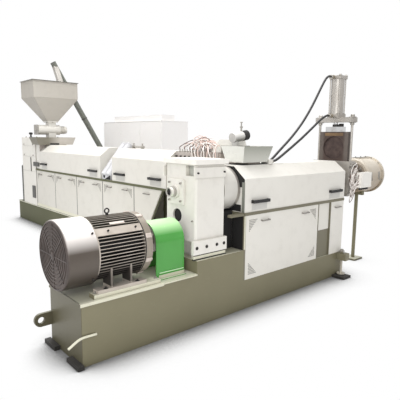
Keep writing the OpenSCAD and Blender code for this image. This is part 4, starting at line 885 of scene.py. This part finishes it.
# Near black sheets as painted shade inside the hood's open end, above and below the drum.
opening_sheets = Stock()
shoulder = [
    (-0.244, 1.120), (-0.244, 1.191), (-0.107, 1.2995), (0.107, 1.2995), (0.244, 1.191), (0.244, 1.120)]
foot = [(-0.205, 0.900), (-0.205, 0.962), (0.205, 0.962), (0.205, 0.900)]
for outline in (shoulder, foot):
    opening_sheets.band([(-0.3002, y, z) for y, z in outline], BACK, 0.0012)
opening_sheets.build("hood_opening_shade", void, "dark_metal")
Stock().pair("Y", 0.2145, 0.2485, (-0.3030, -0.3013), (0.897, 1.165), 0.0006).build(
    "hood_end_flange", tube_grey, "white_paint")
# A grey plate as painted shade at the back of the gearbox's pocket.
Stock().plate(
    (GEAR_X0 + 0.037, -0.169, CAP_Z - 0.094), (GEAR_X0 + 0.0395, -0.071, CAP_Z - 0.011), 0.001
).build("gearbox_pocket_back", tray_coat, "white_paint")

# Handle plates under the black grips

GRIP_IN, GRIP_HALF = 0.198, 0.105
plates = Stock()
for letter, rail, start, end in (
        ("Y", RAIL, FRAME_X, FRAME_END), ("X", FIRST_RAIL, NEAR_Y0, NEAR_Y1),
        ("X", FIRST_RAIL, FAR_Y0, FAR_Y1)):
    for place in (start + GRIP_IN, end - GRIP_IN):
        along, upward = (place - GRIP_HALF, place + GRIP_HALF), (rail + 0.015, rail + 0.078)
        plates.pair(letter, HALF, HALF + 0.0015, along, upward, 0.0006)
plates.build("grip_plates", grip_grey, "white_paint")

# Vent holes in the corners of the panels and doors

HOLE_ROWS, HOLE_IN, HOLE_PITCH = 8, 0.046, 0.0140
holes = Stock()


def vent_corner(corner, along, up, out):
    """A triangle of small holes beside a corner."""
    corner, along, up, out = Vector(corner), Vector(along), Vector(up), Vector(out)
    for i in range(HOLE_ROWS):
        for j in range(HOLE_ROWS - i):
            at = corner + along * (HOLE_IN + HOLE_PITCH * i) + up * (HOLE_IN + HOLE_PITCH * j)
            holes.turned(at, out, [(0.0052, 0.0), (0.0052, 0.0004), (0.0044, 0.0006)], 8)


for side in SIDES:
    for (x, dx), (z, dz) in product(((-0.276, 1), (0.848, -1)), ((SILL, 1), (0.867, -1))):
        vent_corner((x, side * HALF, z), (dx, 0, 0), (0, 0, dz), (0, side, 0))
    for k in range(DOOR_COUNT):
        near, far = DOOR_Y + k * DOOR_PITCH + 0.007, DOOR_Y + (k + 1) * DOOR_PITCH - 0.007
        for y, dy in ((near, 1), (far, -1)):
            vent_corner((side * HALF, y, DOOR_TOP), (0, dy, 0), DOWN, (side, 0, 0))
holes.build("vent_holes", shade, "dark_metal")

gaps = Stock()
inner = HALF - PANEL_T + 0.0002
for k in range(DOOR_COUNT + 1):
    y = DOOR_Y + k * DOOR_PITCH
    gaps.pair("X", inner, inner + 0.0112, (y - 0.0068, y + 0.0068), (FIRST_SILL + 0.056, DOOR_TOP), 0.001)
gaps.build("door_gap_seals", pad_rubber, "black_rubber")

# Deck edges, seams and a bent pale tube on the base: the pale strips along the edges and the tube along a
# foot bracket are painted highlights

EDGE, EDGE_OUT = HALF + 0.006, HALF + 0.008
# Painted highlights: pale strips along the top edges of the deck, the plinth and the first base's sill.
edges = Stock()
edges.pair("Y", EDGE, EDGE_OUT, (-1.876, -1.190), (DECK - 0.0215, DECK + 0.0010), 0.0008)
edges.pair("Y", EDGE, EDGE_OUT, (-1.189, -0.852), (DECK - 0.0125, DECK - 0.0005), 0.0008)
edges.pair("X", EDGE, EDGE_OUT, (1.414, 5.616), (FIRST_SILL - 0.0135, FIRST_SILL - 0.0005), 0.0008)
edges.build("deck_edges", pale_and_highlight, "olive_paint")
Stock().pair("X", 0.2502, 0.2532, (1.424, 4.684), (FIRST_SILL + 0.005, FIRST_SILL + 0.052), 0.001).build(
    "kick_strips", pale_and_highlight, "olive_paint")
# Painted highlights: pale strips along the front edges of the deck's and the plinth's tops.
strips = Stock()
strips.pair("Y", 0.2305, 0.2555, (-1.874, -0.852), (DECK, DECK + 0.0012), 0.0005)
strips.pair("Y", 0.2285, 0.2495, (-0.848, -0.332), (PLINTH, PLINTH + 0.0012), 0.0005)
strips.build("deck_strips", pale_and_highlight, "olive_paint")
# Painted highlight: a pale tube along the top and end edges of the foot bracket at the motor end.
Stock().tube(
    rounded([(-1.972, -0.262, 0.172), (-1.884, -0.262, 0.222), (-1.764, -0.2585, 0.216)], 5, 0.35), 0.0085
).build("bracket_edge_highlight", pale_and_highlight, "olive_paint", 40)

bolts = Stock()
for side in SIDES:
    for x in (-1.735, -1.225):
        bolts.bolt((x, side * 0.195, DECK + 0.0315), UP, 0.016)
    bolts.bolt((1.29, side * 0.300, SILL + 0.019), UP, 0.030)
bolts.build("rail_bolts", zinc, "machined_steel", 30)

# Screen changer

bolts = Stock()
for x, y, z in product((-0.061, 0.061), (-0.061, 0.061), (2.272, 1.836)):
    bolts.bolt((CHANGER_X + x, y, z), UP, 0.020)
for side in SIDES:
    bolts.bolt((CHANGER_X, side * 0.209, 1.80), UP, 0.040)
    bolts.bolt((CHANGER_X, side * 0.209, 1.745), DOWN, 0.040)
    for x, z in product((-0.045, 0.045), (0.95, 1.10, 1.25)):
        bolts.bolt((CHANGER_X + x, side * 0.238, z), (0, side, 0), 0.026)
bolts.build("changer_bolts", zinc, "machined_steel", 30)

ports = Stock()
for route in (upper_route, lower_route):
    port, bulkhead = Vector(route[0]), Vector(route[-1])
    ports.turned(port, AHEAD, [
        (0.0145, 0.0), (0.021, 0.002), (0.021, 0.012), (0.0175, 0.014)], 6, loop=True)
    ports.ring(port + Vector((0.020, 0, 0)), AHEAD, 0.0172, 0.020, 0.011, 0.001, 24)
    ports.turned(bulkhead, AHEAD, [(0.021, 0.0), (0.021, 0.010), (0.0178, 0.0115)], 6)
ports.build("hose_fittings", fitting, "machined_steel", 30)

discs, rims = Stock(), Stock()
for z in (AXIS, AXIS + STROKE):
    discs.turned((CHANGER_X - 0.0185, 0, z), BACK, [
        (0.0, 0.001), (0.090, 0.0015), (0.1335, 0.0), (0.1335, -0.0003)], 56)
    rims.turned((CHANGER_X - 0.028, 0, z), BACK, [
        (0.1330, -0.006), (0.1330, 0.0016), (0.1400, 0.0024), (0.1430, 0.0)], 64, loop=True)
discs.build("wire_screens", screen, "slide_steel", 30, "slide")
rims.build("screen_rims", slide_steel, "slide_steel", 30, "slide")
Stock().plate((CHANGER_X - 0.0300, -0.118, 1.5900), (CHANGER_X - 0.0279, 0.118, 1.6240), 0.0006).build(
    "slide_strip", tan_steel, "slide_steel", body="slide")
clevis = Stock()
clevis.turned((CHANGER_X, 0, 1.694), UP, [
    (0.0255, 0.0), (0.036, 0.0), (0.036, 0.026), (0.034, 0.028), (0.0255, 0.028)], 6, loop=True)
clevis.plate((CHANGER_X - 0.022, -0.092, 1.694), (CHANGER_X + 0.022, -0.052, 1.730), 0.002)
clevis.build("clevis_nuts", dark_bolt, "dark_metal", 30, "slide")

# Die head, junction box and cutter hood

bands = Stock()
for x0, x1 in ((1.745, 1.815), (1.830, 1.905)):
    bands.ring((x0, 0, AXIS), AHEAD, 0.1252, 0.132, x1 - x0, 0.003, 48)
    bands.plate((x0 + 0.006, -0.020, AXIS + 0.130), (x1 - 0.006, 0.020, AXIS + 0.150), 0.002)
for x in (1.615, 1.695):
    bands.pair("Y", 0.146, 0.152, (x - 0.030, x + 0.030), (AXIS - 0.11, AXIS + 0.11), 0.002)
    bands.plate((x - 0.030, -0.11, AXIS + 0.146), (x + 0.030, 0.11, AXIS + 0.153), 0.002)
bands.build("die_heaters", barrel_steel, "machined_steel", 30)

bolts = Stock()
bolts.bolt_circle((1.92, 0, AXIS), BACK, 0.146, 10, 0.02)
for y, z in product((-0.12, 0.12), repeat=2):
    bolts.socket_screw((1.73, y, AXIS + z), AHEAD, 0.026)
bolts.bolt_circle((2.30, 0, AXIS), BACK, 0.224, 12, 0.008, 0.5)
bolts.build("die_bolts", zinc, "machined_steel", 30)

lid = Stock()
lid.plate((1.571, -0.334, 1.003), (1.799, -0.3298, 1.166), 0.0015)
for x, z in product((1.585, 1.785), (1.017, 1.152)):
    lid.socket_screw((x, -0.334, z), (0, -1, 0), 0.009)
lid.build("junction_box_lid", cap_white, "white_paint", 30)
glands = Stock()
for k in range(5):
    glands.turned((1.600 + 0.042 * k, -0.300, 0.997), DOWN, [
        (0.014, 0.0), (0.015, 0.002), (0.015, 0.010), (0.012, 0.012), (0.012, 0.024), (0.008, 0.028)], 12)
glands.build("junction_box_glands", black, "black_plastic", 30)

wires, brown_wires = Stock(), Stock()
for k in range(16):
    z = AXIS + 0.150 - 0.015 * k + dice.uniform(-0.01, 0.01)
    x = 1.600 + 0.018 * (k % 5)
    sag, swing = dice.uniform(0.0, 0.17), dice.random()
    bundle = brown_wires if k % 4 == 3 else wires
    bundle.tube(rounded([
        (x, -0.1515, z), (x + 0.004, -0.200, z + 0.03),
        (1.600 + 0.02 * dice.random(), -0.258, z + dice.uniform(0.0, 0.06)),
        (1.520 - 0.06 * swing, -0.262 - 0.02 * dice.random(), z + 0.02 - 0.3 * sag),
        (1.475 - 0.07 * swing, -0.272, z - 0.06 - sag),
        (1.515 - 0.03 * swing, -0.284, min(z - 0.06, 1.05) - 0.6 * sag),
        (1.5655, -0.300, 1.010 + 0.0092 * k)], 6, 0.45), 0.0036, 7)
wires.build("heater_wires", pale_sleeve, "white_paint", 50)
brown_wires.build("heater_brown_wires", brown_sleeve, "dark_metal", 50)

strip = Stock()
strip.plate((1.985, -0.030, AXIS + 0.2232), (2.285, 0.030, AXIS + 0.2262), 0.001)
for x in (2.01, 2.135, 2.26):
    strip.socket_screw((x, 0.0, AXIS + 0.2262), UP, 0.012)
strip.build("cutter_hood_strip", dark_metal, "dark_metal", 30)
latches = Stock()
for side, x in product(SIDES, (2.03, 2.22)):
    y = side * 0.212
    latches.plate((x - 0.02, y - 0.006, AXIS - 0.03), (x + 0.02, y + 0.006, AXIS + 0.05), 0.003)
    near, far = side * 0.217, side * 0.230
    latches.tube(rounded([
        (x - 0.012, near, AXIS - 0.02), (x - 0.012, far, AXIS - 0.05),
        (x + 0.012, far, AXIS - 0.05), (x + 0.012, near, AXIS - 0.02)], 3), 0.004, 8)
latches.build("cutter_hood_latches", zinc, "machined_steel", 40)

# Heater leads on the first die: stiff sheathed loops between terminals

LEAD_Y0, LEAD_PITCH, LEAD_ROWS = 0.292, 0.048, (-0.070, 0.0, 0.070)
LEAD_LOW, BEND_LOW = 1.452, 1.45
leads, pale_leads, brown_leads, terminals = Stock(), Stock(), Stock(), Stock()
for k, x in product(range(9), LEAD_ROWS):
    terminals.turned((x, LEAD_Y0 + LEAD_PITCH * k, 1.407), UP, [
        (0.009, 0.0), (0.009, 0.014), (0.006, 0.016), (0.006, 0.030), (0.003, 0.032)], 10)


def heap(y):
    """Top of the tangle above a place along the die."""
    return 1.605 - max((0.70 - y) * 0.40, (y - 0.70) * 0.60)


for k in range(54):
    y0 = LEAD_Y0 + LEAD_PITCH * dice.randrange(9)
    y1 = min(max(y0 + dice.choice((-1, 1)) * dice.uniform(0.05, 0.30), 0.30), 0.92)
    x0, x1 = dice.choice(LEAD_ROWS), dice.uniform(-0.09, 0.07)
    if dice.random() < 0.45:
        y1 = dice.uniform(0.62, 0.84)
    middle = (y0 + y1) / 2
    top = LEAD_LOW + (heap(middle) - LEAD_LOW) * dice.uniform(0.35, 1.0)
    bend = top - BEND_LOW
    bundle = dice.choice((leads, leads, pale_leads, pale_leads, pale_leads, brown_leads))
    bundle.tube(rounded([
        (x0, y0, 1.432),
        (x0 + dice.uniform(-0.04, 0.03), y0 + dice.uniform(-0.04, 0.04), BEND_LOW + 0.6 * bend),
        (dice.uniform(-0.08, 0.06), middle + dice.uniform(-0.05, 0.05), top),
        (x1, y1 + dice.uniform(-0.03, 0.03), BEND_LOW + 0.5 * bend),
        (x1, y1, 1.416)], 5, 0.45), dice.uniform(0.0032, 0.0046), 6)
for k in range(6):
    y = 0.72 + 0.042 * k
    for x in (-0.085, 0.085):
        terminals.turned((x, y, 1.390), UP, [
            (0.010, 0.0), (0.010, 0.016), (0.006, 0.018), (0.006, 0.034), (0.003, 0.036)], 10)
    bundle = brown_leads if k % 2 else pale_leads
    bundle.tube(rounded([
        (-0.085, y, 1.418), (-0.088, y + 0.006, 1.448), (-0.070, y - 0.04, 1.462 + 0.020 * dice.random()),
        (-0.030, 0.72 + 0.010 * k, 1.505 + 0.03 * dice.random()),
        (0.040, 0.66 + 0.02 * dice.random(), 1.500), (0.085, 0.72, 1.418)], 6, 0.45), 0.0044, 7)
for k in range(9):
    y = 0.300 + 0.045 * k
    bundle = pale_leads if k % 3 else leads
    bundle.tube(rounded([
        (-0.070, y, 1.432), (-0.095, y + dice.uniform(-0.02, 0.05), 1.470 + 0.03 * dice.random()),
        (-0.150, y + dice.uniform(-0.05, 0.02), 1.430), (-0.168, y - 0.03, 1.372),
        (-0.160, y + dice.uniform(-0.08, 0.0), 1.325)], 5, 0.45), 0.0038, 6)
pale_leads.build("die_pale_leads", pale_sleeve, "white_paint", 50)
leads.build("die_leads", lead_sleeve, "white_paint", 50)
brown_leads.build("die_brown_leads", brown_sleeve, "dark_metal", 50)
terminals.build("die_terminals", zinc, "machined_steel", 40)
screws = Stock()
for z, y, side in product((1.04, 1.20, 1.35), (0.72, 0.79, 0.86, 0.93), SIDES):
    screws.socket_screw((side * 0.125, y, z), (side, 0, 0), 0.018)
screws.build("die_block_screws", dark_bolt, "dark_metal", 30)

# Vent chute, vent pipe and the pipe on the near hood

# A near black disc and triangle as painted shade in the vent chute's openings.
Stock().turned((-0.2458, 2.335, 1.030), BACK, [(0.0, 0.0005), (0.024, 0.0005), (0.026, -0.001)], 24).build(
    "vent_chute_eye", void, "dark_metal", 30)
Stock().band([(-0.2461, 2.170, 0.993), (-0.2461, 2.315, 0.993), (-0.2461, 2.170, 1.056)], BACK, 0.0012).build(
    "vent_chute_mouth", void, "dark_metal")
collars = Stock()
rise = slope(51)
for y, along in product((2.217, 2.333), (0.19, 0.505)):
    collars.ring(Vector((-0.24, y, 1.04)) + rise * along, rise, 0.0538, 0.0575, 0.014, 0.002, 32)
collars.build("vent_collars", chute_white, "white_paint", 30)

rise = slope(9)
start = Vector((-0.178, 0.04, 1.55))
Stock().turned(start, rise, [
    (0.0460, 0.128), (0.0480, 0.130), (0.0480, 0.1955), (0.0460, 0.1975), (0.0440, 0.1975)], 36, loop=True
).build("vent_pipe_sleeve", pad_rubber, "dark_metal", 30)
Stock().turned(start + Vector((0.118, 0, 0.060)), UP, [
    (0.008, 0.0), (0.008, 0.034), (0.014, 0.036), (0.014, 0.050), (0.006, 0.052), (0.006, 0.082),
    (0.013, 0.084), (0.013, 0.092), (0.0, 0.094)], 16
).build("vent_pipe_valve", spout_grey, "machined_steel", 30)
# A near black disc as painted shade inside the vent pipe's open end.
Stock().turned(start + rise * 0.150, rise, [(0.0, 0.0), (0.0405, 0.0), (0.0405, 0.004)], 32).build(
    "vent_pipe_bore_shade", void, "dark_metal", 30)
Stock().plate((-0.200, -0.1095, 1.3052), (0.165, 0.1095, 1.3100), 0.001).build(
    "tray_gasket", pad_rubber, "black_rubber")

pipe, valves = Stock(), Stock()
pipe.tube([(0.06, 1.84, 1.425), (0.06, 2.11, 1.425)], 0.013, 14)
for y in (1.88, 2.08):
    pipe.turned((0.06, y, 1.40), UP, [(0.022, 0.0), (0.022, 0.006), (0.011, 0.008), (0.011, 0.020)], 16)
    valves.ring((0.06, y - 0.020, 1.425), (0, 1, 0), 0.0132, 0.020, 0.040, 0.002, 6)
    valves.turned((0.06, y, 1.440), UP, [
        (0.008, 0.0), (0.008, 0.016), (0.016, 0.018), (0.016, 0.025), (0.006, 0.027)], 14)
pipe.build("cover_pipe", steel, "machined_steel", 40)
valves.build("cover_valves", zinc, "machined_steel", 40)

# First gearbox: bolts, breather, corner bracket

bolts = Stock()
for z, y, side in product((1.215, 1.400), (BOX_Y0 + 0.10, BOX_Y1 - 0.10), SIDES):
    bolts.bolt((side * HALF, y, z), (side, 0, 0), 0.014, 8 * z)
for x, y in product((-0.19, 0.19), (BOX_Y0 + 0.06, BOX_Y1 - 0.06)):
    bolts.bolt((x, y, BOX_TOP), UP, 0.020)
bolts.build("first_gearbox_bolts", zinc, "machined_steel", 30)
Stock().turned((-0.15, 5.15, BOX_TOP), UP, [
    (0.022, 0.0), (0.022, 0.012), (0.014, 0.014), (0.014, 0.050), (0.030, 0.054), (0.033, 0.064),
    (0.030, 0.086), (0.0, 0.092)], 20
).build("first_gearbox_breather", black, "black_plastic", 40)
bracket = Stock()
for along, upward in (
        ((4.560, 4.800), (1.030, 1.100)), ((4.755, 4.890), (0.465, 0.680)), ((4.910, 4.925), (0.930, 1.180))):
    bracket.pair("X", 0.2502, 0.2620, along, upward, 0.002)
bracket.build("first_gearbox_bracket", dark_metal, "dark_metal")
Stock().pair("X", 0.2382, 0.2412, (4.536, 4.682), (0.992, 1.402), 0.001).build(
    "feed_block_covers", white, "white_paint")

# Hopper, feeder and loader

RIM_X, RIM_Y, RIM_T, RIM_Z = 0.397, 0.287, 0.003, (2.4475, 2.4555)
WELD_X, WELD_Y, SHOULDER = 0.3805, 0.2705, 2.179
rim, welds = Stock(), Stock()
rim.pair("X", RIM_X - RIM_T, RIM_X, (FEED_Y - RIM_Y, FEED_Y + RIM_Y), RIM_Z, 0.0008)
for side in SIDES:
    near, far = sorted((FEED_Y + side * (RIM_Y - RIM_T), FEED_Y + side * RIM_Y))
    rim.plate((-RIM_X, near, RIM_Z[0]), (RIM_X, far, RIM_Z[1]), 0.0008)
rim.build("hopper_rim_edge", dark_metal, "dark_metal")
for sx, sy in product(SIDES, repeat=2):
    x, y = sx * WELD_X, FEED_Y + sy * WELD_Y
    welds.tube([(x, y, 2.448), (x, y, SHOULDER), (sx * 0.0955, FEED_Y + sy * 0.0955, 1.802)], 0.0024, 6)
for side in SIDES:
    x, y = side * WELD_X, FEED_Y + side * WELD_Y
    welds.tube([(-0.38, y, SHOULDER), (0.38, y, SHOULDER)], 0.0022, 6)
    welds.tube([(x, FEED_Y - 0.27, SHOULDER), (x, FEED_Y + 0.27, SHOULDER)], 0.0022, 6)
welds.build("hopper_welds", hopper_white, "white_paint", 60)

bolts = Stock()
for x, facing in ((-0.231, AHEAD), (0.131, BACK)):
    bolts.bolt_circle((x, FEED_Y, FEEDER_Z), facing, 0.0828, 10, 0.004)
for x, side in product((-0.08, 0.0, 0.08), SIDES):
    bolts.bolt((x, FEED_Y + side * 0.081, 1.788), DOWN, 0.012)
for side in SIDES:
    bolts.bolt((side * 0.081, FEED_Y, 1.788), DOWN, 0.012)
bolts.build("feeder_bolts", zinc, "machined_steel", 30)
fins = Stock()
for k in range(7):
    fins.ring((0.160 + 0.012 * k, FEED_Y, FEEDER_Z), AHEAD, 0.0595, 0.066, 0.005, 0.0008, 36)
fins.turned((0.2575, FEED_Y, FEEDER_Z), AHEAD, [
    (0.060, 0.0), (0.0625, 0.001), (0.0600, 0.012), (0.0520, 0.0165), (0.0, 0.0165)], 36)
fins.build("feeder_motor_fins", gear_white, "white_paint", 30)
cap = Stock()
cap.plate((-0.264, FEED_Y - 0.084, FEEDER_Z - 0.084), (-0.2452, FEED_Y + 0.084, FEEDER_Z + 0.084), 0.003)
cap.turned((-0.264, FEED_Y, FEEDER_Z), BACK, [
    (0.030, -0.001), (0.030, 0.004), (0.024, 0.010), (0.0, 0.011)], 28)
cap.build("feeder_bearing_plate", spout_grey, "dark_metal", 30)

LIP_Z = 1.5262
lip = Stock()
lip.tube([(-0.345, 4.3985, LIP_Z), (0.345, 4.3985, LIP_Z)], 0.0024, 8)
for x in (-0.3475, 0.3475):
    lip.tube([(x, 4.401, LIP_Z), (x, 4.701, LIP_Z)], 0.0024, 8)
lip.build("first_tray_lip", tube_grey, "dark_metal", 40)
Stock().plate((-0.105, 4.3985, 1.4003), (0.050, 4.4070, 1.4290), 0.001).build(
    "first_tray_seal", pad_rubber, "black_rubber")

fall = slope(-59)
head = Vector((0.29, 5.014, 2.80))
clamps = Stock()
for along in (0.32, 1.05, 1.80, 2.50):
    clamps.ring(head + fall * along, fall, 0.0500, 0.056, 0.022, 0.002, 32)
clamps.turned(head - fall * 0.070, -fall, [
    (0.0500, 0.0), (0.0520, 0.001), (0.0520, 0.006), (0.030, 0.010), (0.0, 0.011)], 32)
clamps.build("loader_clamps", dark_metal, "dark_metal", 30)

# Control cabinet

handles, louvres = Stock(), Stock()
for k in range(3):
    y = CABINET_Y + (k + 1) * CABINET_DOOR - 0.075
    handles.plate((1.194, y - 0.013, 1.02), (CABINET_X + 0.0001, y + 0.013, 1.17), 0.003)
    handles.tube(rounded([(1.196, y, 1.045), (1.182, y, 1.055), (1.182, y, 1.135), (1.196, y, 1.145)]), 0.007)
    for z in (0.30, 0.95, 1.60):
        handles.turned((1.2030, CABINET_Y + k * CABINET_DOOR + 0.010, z), UP, [
            (0.006, 0.0), (0.007, 0.002), (0.007, 0.058), (0.006, 0.060)], 12)
    y = CABINET_Y + (k + 0.5) * CABINET_DOOR - 0.11
    for j in range(9):
        z = 0.24 + 0.022 * j
        louvres.band([(CABINET_X, y, z), (CABINET_X, y, z + 0.012), (1.1985, y, z + 0.002)], (0, 1, 0), 0.22)
handles.build("cabinet_handles", pale_coat, "cabinet_paint", 40)
louvres.build("cabinet_louvres", pale_coat, "cabinet_paint")
Stock().plate((1.200, 3.016, 1.8195), (1.769, 4.924, 1.8225), 0.001).build(
    "cabinet_roof_edge", pale_coat, "cabinet_paint")

# Floor, sky and lamps

FLOOR_HALF, FLOOR_Z = 40, -0.0006
floor_mesh = bpy.data.meshes.new("floor")
corners = [(x * FLOOR_HALF, y * FLOOR_HALF, FLOOR_Z) for x, y in ((-1, -1), (1, -1), (1, 1), (-1, 1))]
floor_mesh.from_pydata(corners, [], [(0, 1, 2, 3)])
floor = bpy.data.objects.new("floor", floor_mesh)
bpy.context.scene.collection.objects.link(floor)
f = Finish("studio_floor")
ray = f.add("LightPath", output="Is Camera Ray")
# Painted shadow: ambient occlusion darkens the floor's colour near the machine; away from it the camera sees
# plain white.
near = f.steps(f.hollow(0.42), 0.0, 0.46)
tone = f.blend(near * 0.9, (0.90, 0.90, 0.90, 1.0), (0.10, 0.10, 0.10, 1.0))
board = f.add("BsdfPrincipled", inputs={"Base Color": tone, "Roughness": 0.9, "Specular IOR Level": 0.0})
glow = f.add("Emission", inputs={"Color": (1.0, 1.0, 1.0, 1.0), "Strength": 1.0})
shown = f.add("MixShader", inputs={0: ray * (1 - near), 1: board, 2: glow})
f.add("OutputMaterial", inputs={"Surface": shown})
floor_mesh.materials.append(f.material)

world = bpy.data.worlds.new("studio_sky")
world.use_nodes = True
bpy.context.scene.world = world
sky = Finish("studio_sky", world.node_tree)
seen = sky.add("LightPath", output="Is Camera Ray")
glossy = sky.add("LightPath", output="Is Glossy Ray")
through = sky.add("LightPath", output="Is Transmission Ray")
share = (seen + glossy + through).math("MINIMUM", 1.0)
tone = sky.blend(share, (0.50, 0.50, 0.51, 1.0), (1.0, 1.0, 1.0, 1.0))
sky.add("OutputWorld", inputs={"Surface": sky.add("Background", inputs={"Color": tone, "Strength": 1.0})})


def lamp(name, place, target, size, power):
    """A rectangular studio lamp that points at a target."""
    light = bpy.data.lights.new(name, "AREA")
    light.shape = "RECTANGLE"
    light.size, light.size_y = size
    light.energy = power
    obj = bpy.data.objects.new(name, light)
    obj.location = place
    obj.rotation_euler = (Vector(target) - Vector(place)).to_track_quat("-Z", "Y").to_euler()
    bpy.context.scene.collection.objects.link(obj)


lamp("key_lamp", (-0.6, 2.4, 7.5), (0.0, 1.4, 0.5), (8.0, 8.0), 840)
lamp("front_lamp", (-6.2, -4.8, 4.0), (0.0, 0.8, 0.9), (6.0, 4.0), 300)

bpy.context.scene.view_settings.view_transform = "Standard"
